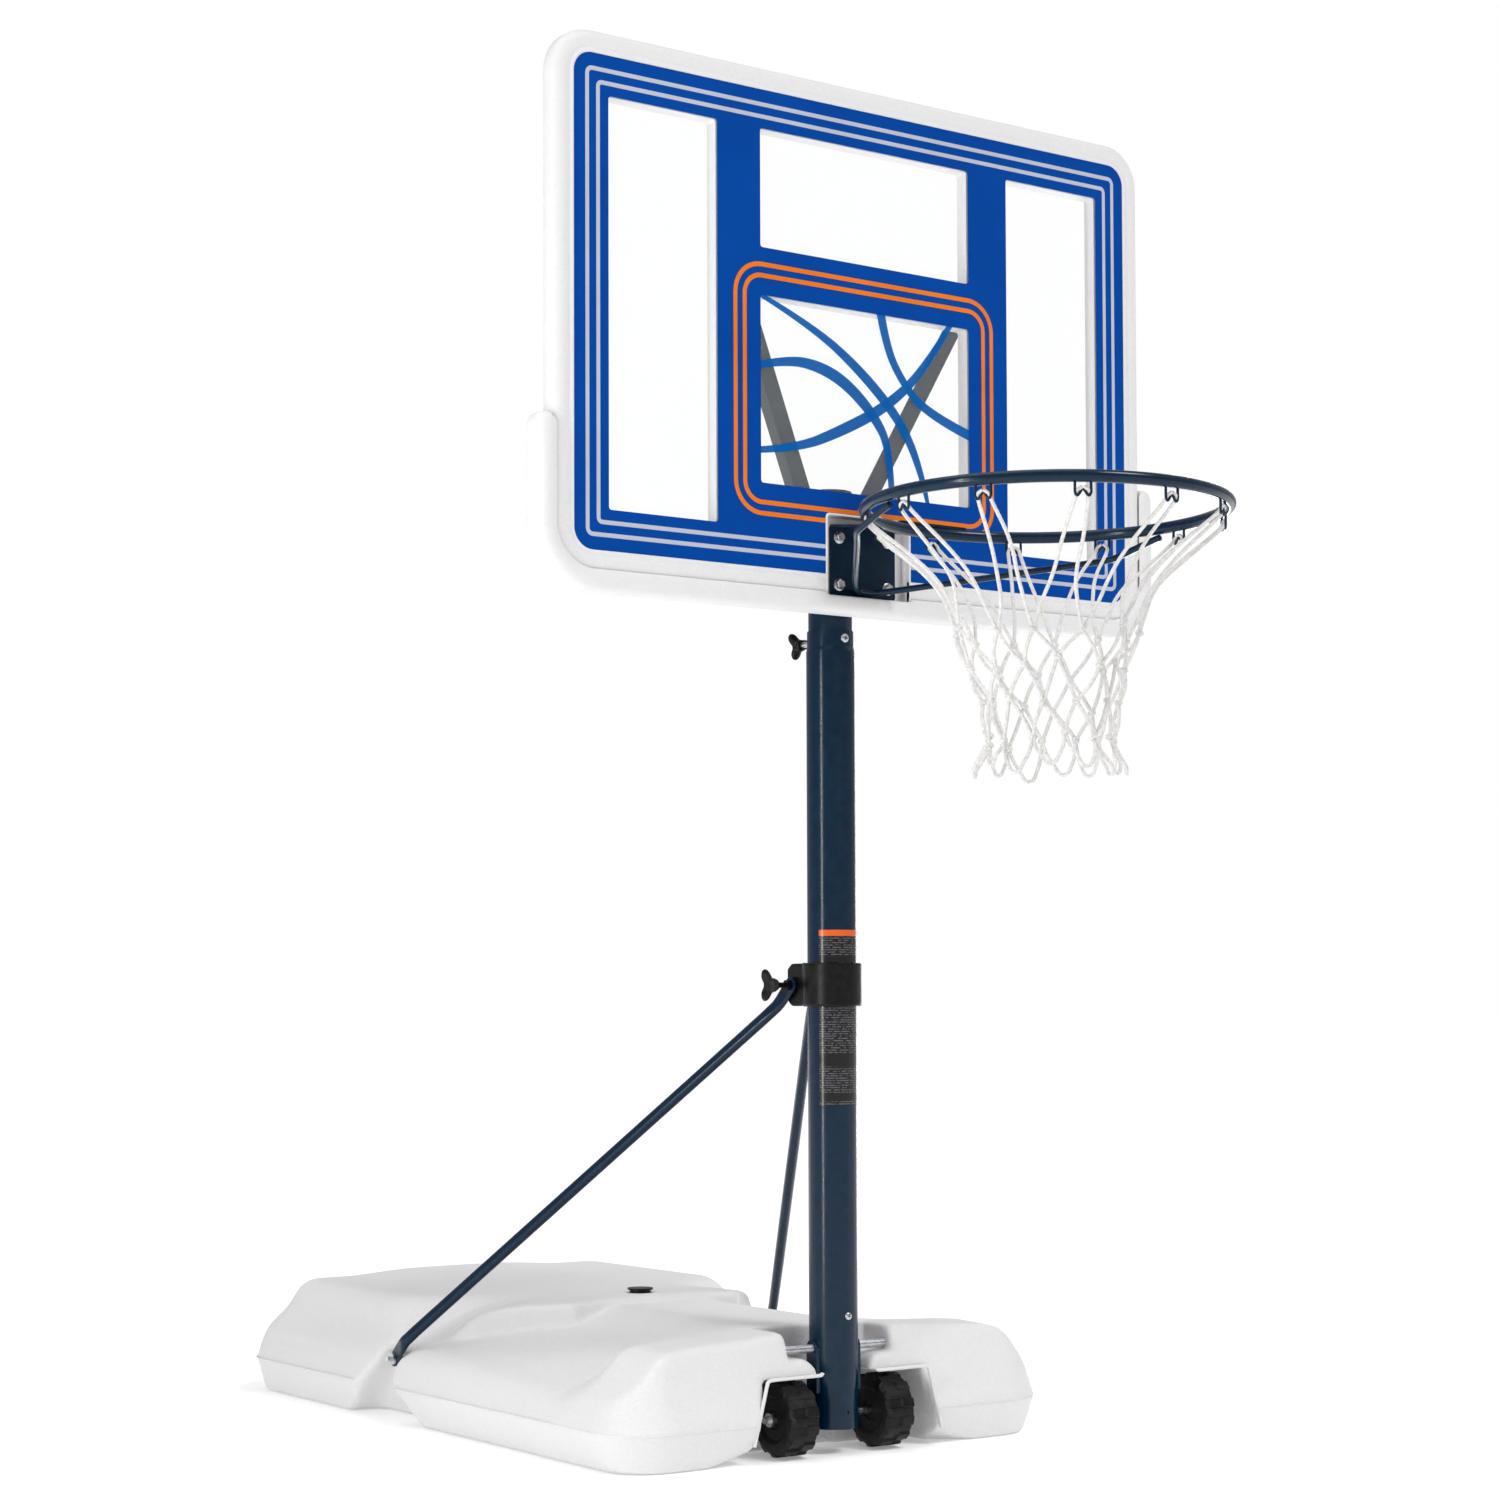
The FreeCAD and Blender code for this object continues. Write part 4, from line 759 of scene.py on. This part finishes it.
def ball_seam(name, layer, points, thin, wide):
    """A curved line of the printed ball: thin at its ends and wide in the middle."""
    route = curve_through([(x, 0, z) for x, z in points], 0.006, 3)
    near, far = BOARD_Y - 0.0002 - 0.00002 * layer, BOARD_Y - 0.0001
    last = len(route) - 1
    loops = []
    for k, spot in enumerate(route):
        ahead = route[min(k + 1, last)] - route[max(k - 1, 0)]
        across = Vector((-ahead.z, 0, ahead.x)).normalized()
        half = (thin + (wide - thin) * math.sin(math.pi * k / last)) / 2
        loops.append([(spot.x + across.x * s * half, depth, spot.z + across.z * s * half)
                      for s, depth in ((-1, near), (1, near), (1, far), (-1, far))])
    piece(name, *loft(loops), "seam", "head")


def board_print():
    """The printed field, the grey and orange lines and the ball's curved lines."""
    flat_plate("board_print", [with_recess(panel_outline(-0.0004, RECESS_HALF)), *window_outlines()],
               BOARD_Y - 0.0006, BOARD_Y - 0.0004, "blue", "head")
    for k, (inset, round_) in enumerate(((0.021, PANEL_ROUND), (0.038, 0.044))):
        def grey(outset):
            return rounded_loop(PANEL_HALF, PANEL_LOW.z, PANEL_HIGH.z, round_, outset, 8, RECESS_OUT)

        piece(f"grey_line_{k}", *framed(grey, print_section(-inset, 0.0058), True), "stripe", "head")
    for k, (outset_, gap) in enumerate(((0.027, 0.0), (0.0425, RECESS_OUT))):
        def orange(outset):
            return rounded_loop(MID, LOWER_LOW, LOWER_TOP, 0.001, outset, 10, gap)

        section = print_section(outset_, 0.0064)
        piece(f"orange_line_{k}", *framed(orange, section, bool(gap)), "orange", "head")
    for layer, (name, points, thin, wide) in enumerate(BALL_SEAMS):
        ball_seam(name, layer, points, thin, wide)


def bumper_field(x, y, z):
    """The bumper round the board's lower edge; y is measured from the panel front."""
    mid_z = 1.182 + 0.3
    outer = box_2d(x, z - mid_z, 0.5428, 0.2998, 0.088)
    inner = box_2d(x, z - 1.216 - 0.4, 0.509, 0.4, 0.054)
    rim = smooth_max(outer, -inner, 0.012)
    rim = smooth_max(rim, z - 1.4138, 0.016)
    rim = smooth_max(rim, np.abs(y - 0.0155) - 0.0223, 0.017)
    pocket = np.maximum(box_2d(x, z - 1.204 + 0.0003 - 0.4, 0.5193, 0.4, 0.058), -0.0022 - y)
    rim = np.maximum(rim, -pocket)
    room = np.maximum(np.abs(x) - RECESS_HALF - 0.0005, 1.2075 - z)
    return smooth_max(rim, -room, 0.002)


def build_board():
    board_rim()
    board_web()
    board_print()
    step = 0.0022
    moulded("bumper_skin", bumper_field, (-0.543, -0.007, 1.182), (0.543, 0.038, 1.414), step,
            "frame", "head", ["board_bumper"], Matrix.Translation((0, BOARD_Y, 0)), crease=50)


# Net and hooks


HOOKS = 12
NET_ROWS = [(1.114, 0.117), (1.070, 0.098), (1.024, 0.089), (0.978, 0.084)]
NET_END = (0.929, 0.094)
CORD = 0.0025
NET_CURL = [(0.004, 0.2362, 0.0110), (0.020, 0.2364, 0.0085), (0.031, 0.2355, 0.0070), (0.036, 0.2325, 0.0)]


def ring_spot(turn, radius, height, sway=0.0):
    return Vector((RING.x + sway + radius * math.cos(turn), RING.y + radius * math.sin(turn), height))


def build_hooks():
    """Wire hooks shaped like a W below the ring."""
    wire = 0.0018
    under = RING.z - 0.0065
    half = [(-0.0098, 0.003), (-0.0102, -0.008), (-0.010, -0.015), (-0.0074, -0.0185), (-0.0046, -0.0155),
            (-0.0020, -0.011)]
    shape = half + [(0, -0.009)] + [(-across, drop) for across, drop in reversed(half)]
    parts = []
    for k in range(HOOKS):
        turn = 2 * math.pi * k / HOOKS
        along = Vector((-math.sin(turn), math.cos(turn), 0))
        centre = ring_spot(turn, 0.2358, under)
        points = [centre + along * across + Vector((0, 0, drop)) for across, drop in shape]
        parts.append(tube(curve_through(points, wire, 3), wire, 10))
    piece("net_hook_wires", *joined(parts), "navy", "head", ["net_hooks"], 180)


def out_and_along(spot):
    """Unit vectors at a spot: away from the ring's axis, and round it."""
    out = (spot - Vector((RING.x, RING.y, spot.z))).normalized()
    return out, Vector((-out.y, out.x, 0))


def net_knots():
    """Knot places: row by row, each half a step round from the row before, with slight disorder."""
    rows = []
    step = 2 * math.pi / HOOKS
    for row, (height, radius) in enumerate(NET_ROWS):
        knots = []
        for k in range(HOOKS):
            turn = step * (k + 0.5 * ((row + 1) % 2)) + random.uniform(-0.09, 0.09)
            sway = 0.006 * (row + 1) / len(NET_ROWS)
            reach = radius * random.uniform(0.94, 1.05)
            knots.append(ring_spot(turn, reach, height + random.uniform(-0.007, 0.007), sway))
        rows.append(knots)
    return rows


def knot(centre, size):
    """A small overhand lump: two short wraps round each other."""
    parts = []
    for tilt in (0.5, -0.6):
        flat = Matrix.Rotation(tilt + random.uniform(-0.2, 0.2), 3, "X")
        turn = Matrix.Rotation(random.uniform(0, math.pi), 3, "Z")
        points = []
        for k in range(13):
            angle = 2 * math.pi * k / 12
            local = Vector((math.cos(angle) * size, math.sin(angle) * size, 0.0006 * math.sin(2 * angle)))
            points.append(centre + turn @ (flat @ local))
        parts.append(tube(points, CORD * 0.86, 8))
    return parts


def net_leg(turn, side, first):
    """From a hook's curl down to a knot of the first row."""
    low = RING.z - 0.0245
    points = [ring_spot(turn + side * swing, radius, low + lift) for swing, radius, lift in NET_CURL]
    start = points[-1]
    for t in (0.3, 0.55, 0.8):
        spot = start.lerp(first, t)
        out, along = out_and_along(spot)
        bow = random.uniform(-0.004, 0.005) - 0.026 * math.sin(math.pi * t)
        points.append(spot + out * bow + along * random.uniform(-0.005, 0.005))
    points.append(first)
    return points


def net_span(a, b):
    """A slightly slack cord between two knots."""
    out, along = out_and_along(a.lerp(b, 0.5))
    bulge = out * random.uniform(0.0, 0.006) + along * random.uniform(-0.003, 0.003)
    return [a, a.lerp(b, 0.3) + bulge * 0.9, a.lerp(b, 0.7) + bulge * 1.1, b]


def net_tail(a, b):
    """The open loop that hangs between two knots of the last row."""
    low = NET_END[0] + random.uniform(0.0, 0.014)
    between = a.lerp(b, 0.5)
    turn = math.atan2(between.y - RING.y, between.x - RING.x)
    end = ring_spot(turn + random.uniform(-0.06, 0.06), NET_END[1] * random.uniform(0.9, 1.1), low, 0.004)
    wide = Vector((-math.sin(turn), math.cos(turn), 0)) * 0.011
    lift = Vector((0, 0, 0.011))
    return [a, a.lerp(end, 0.4) - wide * 0.55, end - wide + lift, end - wide * 0.5, end + wide * 0.5,
            end + wide + lift, b.lerp(end, 0.4) + wide * 0.55, b]


def build_net():
    step = 2 * math.pi / HOOKS
    rows = net_knots()
    routes = []
    for k in range(HOOKS):
        routes.append(net_leg(step * k, 1, rows[0][k]))
        routes.append(net_leg(step * k, -1, rows[0][(k - 1) % HOOKS]))
    for row in range(1, len(rows)):
        first = -1 if row % 2 else 0
        for k in range(HOOKS):
            for other in (first, first + 1):
                routes.append(net_span(rows[row - 1][(k + other) % HOOKS], rows[row][k]))
    last = rows[-1]
    for k in range(HOOKS):
        routes.append(net_tail(last[k], last[(k + 1) % HOOKS]))
    parts = [tube(curve_through(points, CORD, 3), CORD, 8, 0.035) for points in routes]
    for row in rows:
        for spot in row:
            parts += knot(spot, 0.0036)
    piece("net_cords", *joined(parts), "cord", "head", ["net"], 180)


# Metal and small parts

EYE_Y, EYE_Z = POLE_Y + 0.058, 0.663
NECK_Z = 1.157
CROSS_BOLTS = (1.268, 1.298, 1.346)
NUT_FLATS, NUT_TALL = 0.0115, 0.006

def build_wheels():
    """Two wheels with two staggered rows of tread blocks each."""
    around = 288
    blocks = 12
    groove = 0.0030
    half = 0.0248
    # (distance across, radius, tread row) from one bore edge to the middle of the tread
    near = [(-0.0185, 0.0058, 0), (-0.0185, 0.014, 0), (-0.0200, 0.0145, 0), (-0.0200, 0.0285, 0),
            (-half, 0.0345, 0), (-half, 0.0450, 0), (-half + 0.0012, 0.0482, 1), (-half + 0.004, 0.0529, 1),
            (-0.0125, 0.0530, 1), (-0.0012, 0.0530, 1)]
    profile = near + [(-across, radius, 2 * row) for across, radius, row in reversed(near)]
    for name in ("wheel_left", "wheel_right"):
        centre = middle(name)
        loops = []
        for k in range(around):
            angle = 2 * math.pi * k / around
            loop = []
            for across, radius, row in profile:
                if row:
                    phase = (blocks * angle / (2 * math.pi) + 0.5 * row) % 1.0
                    rise = step_between(min(phase, 1 - phase) * 2, 0.44, 0.54)
                    radius -= groove * (1 - float(rise)) * (1.0 if radius > 0.05 else 0.5)
                loop.append((centre.x + across, centre.y + radius * math.cos(angle),
                             centre.z + radius * math.sin(angle)))
            loops.append(loop)
        piece(name + "_tread", *loft(loops, closed=True), "tread", name, [name], 28)


def flat_end(pin, slope, shoulder, along):
    """Stations (place, half width, half thickness) from a strut's flat tip to its round tube."""
    flat = [(-0.012, 0.004, 0.0025), (-0.0105, 0.0075, 0.0025), (-0.006, 0.0108, 0.0025),
            (0.0, 0.012, 0.0025), (0.012, 0.012, 0.0025), (0.026, 0.0115, 0.0032)]
    stations = [(pin + slope * far, wide, thick) for far, wide, thick in flat]
    return stations + [(shoulder, 0.0098, 0.0072), (shoulder + along * 0.018, 0.009, 0.009)]


def build_struts():
    """Tubes with both ends pressed flat."""
    for name, side in (("strut_left", -1), ("strut_right", 1)):
        eye = Vector((side * 0.031, EYE_Y, EYE_Z))
        foot = Vector((side * 0.346, POLE_Y + 0.666, 0.092))
        slope = foot - eye
        slope.x = 0
        slope.normalize()
        top, low = eye + slope * 0.044, foot - slope * 0.044
        along = (low - top).normalized()
        across = slope.cross(Vector((1, 0, 0))).normalized()
        stations = flat_end(eye, slope, top, along) + flat_end(foot, -slope, low, -along)[::-1]
        loops = []
        for spot, wide, thick in stations:
            power = 0.5 if thick < 0.004 else 1.0
            loop = []
            for k in range(28):
                turn = 2 * math.pi * k / 28
                a, b = (math.copysign(abs(s) ** power, s) for s in (math.cos(turn), math.sin(turn)))
                loop.append(spot + across * a * wide + Vector((b * thick, 0, 0)))
            loops.append(loop)
        obj = piece(name + "_tube", *loft(loops), "navy", "base", [name], 60)
        rounding = obj.modifiers.new("round", "SUBSURF")
        rounding.levels = 1
        rounding.render_levels = 1


def knob_field(across, thick, lobes, tilt):
    """A hub with rounded wings, its axis along z and its seat at z = 0."""
    def field(x, y, z):
        radius = np.hypot(x, y)
        angle = np.arctan2(x, y) + tilt
        wing = 0.5 + 0.5 * np.cos(lobes * angle)
        flare = 0.42 + 0.58 * step_between(z, thick * 0.12, thick * 0.72)
        reach = across * (0.22 + 0.275 * wing ** 1.2) * flare
        dish = 0.002 * (1 - step_between(radius, across * 0.1, across * 0.36))
        body = smooth_max((radius - reach) * 0.62, np.abs(z - thick * 0.53) - thick * 0.455 + dish, 0.003)
        hub = smooth_max(radius - across * 0.19, np.abs(z - thick * 0.42) - thick * 0.42, 0.002)
        return smooth_min(body, hub, 0.003)
    return field


def build_knobs():
    thick = 0.0148
    knobs = (("height_knob", "X", 0.0435, 0.3), ("collar_knob", "Y", 0.0515, math.pi))
    for name, axis, across, tilt in knobs:
        low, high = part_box(name)
        seat = Vector((0, low.y, NECK_Z)) if name == "height_knob" else Vector((high.x, EYE_Y, EYE_Z))
        place = Matrix.Translation(seat) @ Matrix.Rotation(-math.pi / 2, 4, axis)
        moulded(name + "_grip", knob_field(across, thick, 3, tilt), (-across / 2, -across / 2, 0),
                (across / 2, across / 2, thick), 0.0011, "black", name, [name], place)


def collar_field(x, y, z):
    """The split collar; the origin is the pole axis at the collar's mid height."""
    half = 0.0314
    around = np.hypot(x, y)
    drum = np.maximum(around - 0.0424, np.abs(z) - half)
    rise = half - np.maximum(y - 0.0605, 0) * 0.8
    ears = np.maximum(np.maximum(np.abs(x) - 0.0268, np.abs(z) - rise), np.maximum(-y, y - 0.0716))
    body = smooth_max(smooth_min(drum, ears, 0.003), np.abs(z) - half, 0.003)
    body = np.minimum(body, np.maximum(drum, np.abs(x + 0.012) - 0.02))
    body = smooth_max(body, 0.0354 - around, 0.002)
    split = np.maximum(np.abs(x) - 0.0025, 0.02 - y)
    body = smooth_max(body, -split, 0.002)
    bore = np.hypot(y - 0.058, z) - 0.0042
    return np.maximum(body, -bore)


def build_collar():
    moulded("collar_moulding", collar_field, (-0.043, -0.043, -0.032), (0.043, 0.072, 0.032), 0.0015,
            "black", "base", ["strut_collar"], Matrix.Translation((0, POLE_Y, 0.6635)), crease=50)


def screw_head(name, spot, direction, radius, body, replaces):
    """A pan head with a cross recess; the recess is not cut, and two flat black bars in its top paint the
    shade inside it.
    """
    ahead, side, up = axes_about(direction)
    profile = [(radius * 0.95, 0.0), (radius, 0.0006), (radius * 0.94, 0.0017), (radius * 0.72, 0.0025),
               (radius * 0.4, 0.0029), (0.0004, 0.003)]
    piece(name, *lathe(profile, spot, direction, 28), "zinc", body, replaces)
    base = Vector(spot) + ahead * 0.00292
    recess_shade_bars = []
    # painted shade: black bars flush with the head stand for the dark hollow of the cross recess
    for turn in (0.6, 0.6 + math.pi / 2):
        a = (side * math.cos(turn) + up * math.sin(turn)) * radius * 0.5
        b = ahead.cross(a) * 0.22
        corners = [base - a - b, base + a - b, base + a + b, base - a + b]
        recess_shade_bars.append(loft([[corner + ahead * height for corner in corners] for height in (-0.0004, 0.0001)]))
    piece(name + "_recess", *joined(recess_shade_bars), "black", body)


def hex_head(spot, direction, flats, tall):
    """A hexagon head or nut standing on spot."""
    ahead, side, up = axes_about(direction)
    corner = flats / math.sqrt(3)
    return loft([circle(Vector(spot) + ahead * height, side, up, corner * share, 6)
                 for share, height in ((1.0, 0.0), (1.0, tall * 0.82), (0.86, tall))])


def build_fasteners():
    forward, backward = (0, -1, 0), (0, 1, 0)
    screw_head("foot_screw_head", (0, POLE_Y - 0.0349, 0.195), forward, 0.0055, "base", ["foot_screw"])
    screw_head("guide_bolt_head", (0, POLE_Y - 0.0336, NECK_Z), forward, 0.0065, "base", ["guide_bolt"])
    heads = []
    nuts = []
    for x in (-0.043, 0.043):
        for z in (1.2245, 1.2915):
            seat, back = (x, PLATE_FRONT, z), (x, BOARD_Y + 0.0292, z)
            heads.append(hex_head((x, PLATE_FRONT - 0.0016, z), forward, 0.0125, 0.0054))
            heads.append(lathe([(0.009, 0), (0.009, 0.0012), (0.0085, 0.0016), (0.004, 0.0016)],
                               seat, forward, 40))
            nuts.append(hex_head(back, backward, NUT_FLATS, NUT_TALL))
            nuts.append(lathe([(0.0039, -0.004), (0.0039, 0.009), (0.0034, 0.0096)], back, backward, 20))
    piece("rim_bolt_heads", *joined(heads), "zinc", "head", ["rim_bolts", "rim_washers"])
    piece("rim_bolt_nuts", *joined(nuts), "zinc", "head", ["rim_nuts"])
    cross = [hex_head((side * 0.0365, POLE_Y, z), (side, 0, 0), NUT_FLATS, NUT_TALL)
             for z in CROSS_BOLTS for side in (-1, 1)]
    piece("cross_bolt_nuts", *joined(cross), "zinc", "head", ["cross_nuts"])


def build_brace():
    """The bent rod that braces the ring, with smooth bends."""
    front = PLATE_FRONT - 0.0085
    half = [(0.006, front, 1.216), (0.015, front - 0.001, 1.2162), (0.032, front - 0.014, 1.218),
            (0.19, POLE_Y - 0.315, 1.2418), (0.218, POLE_Y - 0.349, 1.246), (0.2225, POLE_Y - 0.366, 1.2495),
            (0.2305, POLE_Y - 0.424, 1.2650), (0.232, POLE_Y - 0.438, 1.2674)]
    points = [(-x, y, z) for x, y, z in reversed(half)] + half
    rod = tube(curve_through(points, 0.004, 3), 0.0045, 16)
    piece("rim_brace_rod", *rod, "navy", "head", ["rim_brace"], 180)


def build_ring():
    """The hoop, smooth all round."""
    major, minor = 0.2366, 0.008
    steps = 160
    loops = []
    for k in range(steps):
        turn = 2 * math.pi * k / steps
        out = Vector((math.cos(turn), math.sin(turn), 0))
        loops.append(circle(RING + out * major, out, Vector((0, 0, 1)), minor, 20))
    piece("hoop_ring", *loft(loops, closed=True), "navy", "head", ["rim_ring"], 180)


def paint_cad_nodes():
    looks = {
        "navy": ["lower_pole", "foot_bracket", "upper_pole", "weld_nut", "rim_bracket", "board_bracket"],
        "brace": ["vee_brace_left", "vee_brace_right"],
        "zinc": ["wheel_axle", "axle_push_nuts", "height_stud", "strut_pins",
                 "strut_push_nuts", "cross_bolts", "vee_screws"],
        "thread": ["pole_rod"],
        "black": ["fill_plug", "guide_bush", "pole_cap", "collar_bolt", "collar_nuts"],
        "clear": ["board_panel"],
        "label": ["pole_label"],
    }
    for look, names in looks.items():
        for name in names:
            paint_node(name, look)


# Stage, light and camera


def build_stage():
    half = 60.0
    floor_mesh = bpy.data.meshes.new("floor")
    corners = [(-half, -half, 0), (half, -half, 0), (half, half, 0), (-half, half, 0)]
    floor_mesh.from_pydata(corners, [], [(0, 1, 2, 3)])
    floor = bpy.data.objects.new("floor", floor_mesh)
    scene.collection.objects.link(floor)
    material, _, shader, _ = new_material("floor_paper", (0.93, 0.93, 0.93), 0.9)
    shader.inputs["Emission Color"].default_value = (1, 1, 1, 1)
    shader.inputs["Emission Strength"].default_value = 0.22
    floor_mesh.materials.append(material)


def soft_light(name, place, aim, wide, tall, power):
    data = bpy.data.lights.new(name, "AREA")
    data.shape = "RECTANGLE"
    data.size = wide
    data.size_y = tall
    data.energy = power
    light = bpy.data.objects.new(name, data)
    light.location = place
    light.rotation_euler = (Vector(aim) - Vector(place)).to_track_quat("-Z", "Y").to_euler()
    scene.collection.objects.link(light)


def soft_sun(name, place, strength, spread):
    """An even light from the direction of place, with soft shadows."""
    data = bpy.data.lights.new(name, "SUN")
    data.energy = strength
    data.angle = math.radians(spread)
    light = bpy.data.objects.new(name, data)
    light.rotation_euler = Vector(place).to_track_quat("Z", "Y").to_euler()
    scene.collection.objects.link(light)


def build_light():
    world = bpy.data.worlds.new("studio")
    world.use_nodes = True
    scene.world = world
    tree = world.node_tree
    output = tree.nodes["World Output"]
    seen = tree.nodes["Background"]
    seen.inputs["Color"].default_value = (1, 1, 1, 1)
    seen.inputs["Strength"].default_value = 1.0
    lit = tree.nodes.new("ShaderNodeBackground")
    lit.inputs["Color"].default_value = (1, 1, 1, 1)
    lit.inputs["Strength"].default_value = 0.38
    path = tree.nodes.new("ShaderNodeLightPath")
    mix = tree.nodes.new("ShaderNodeMixShader")
    tree.links.new(path.outputs["Is Camera Ray"], mix.inputs["Fac"])
    tree.links.new(lit.outputs["Background"], mix.inputs[1])
    tree.links.new(seen.outputs["Background"], mix.inputs[2])
    tree.links.new(mix.outputs["Shader"], output.inputs["Surface"])
    soft_sun("key", (1.0, -2.2, 3.2), 1.45, 20)
    soft_sun("overhead", (-0.4, 0.5, 3.0), 0.7, 50)
    soft_light("left", (-2.98, -0.625, 1.1), (0, -0.2, 0.9), 0.16, 2.8, 40)
    soft_light("right", (2.3, 1.3, 1.1), (0, -0.2, 0.9), 0.2, 2.8, 14)


def build_camera():
    """The photo's viewpoint."""
    azimuth = math.radians(35.118)
    pitch = math.radians(2.12)
    roll = math.radians(-0.194)
    place = Vector((-2.471, -3.528, 0.636))
    level = math.cos(pitch)
    ahead = Vector((math.sin(azimuth) * level, math.cos(azimuth) * level, math.sin(pitch)))
    data = bpy.data.cameras.new("camera")
    data.lens = 69.34
    data.sensor_width = 36
    data.shift_y = 0.0981
    camera = bpy.data.objects.new("camera", data)
    turn = ahead.to_track_quat("-Z", "Y").to_matrix().to_4x4()
    camera.matrix_world = Matrix.Translation(place) @ turn @ Matrix.Rotation(roll, 4, "Z")
    scene.collection.objects.link(camera)
    scene.camera = camera
    scene.view_settings.view_transform = "Standard"


build_camera()
build_stage()
build_light()
paint_cad_nodes()
build_tank()
build_board()
build_hooks()
build_net()
build_ring()
build_brace()
build_wheels()
build_struts()
build_knobs()
build_collar()
build_fasteners()
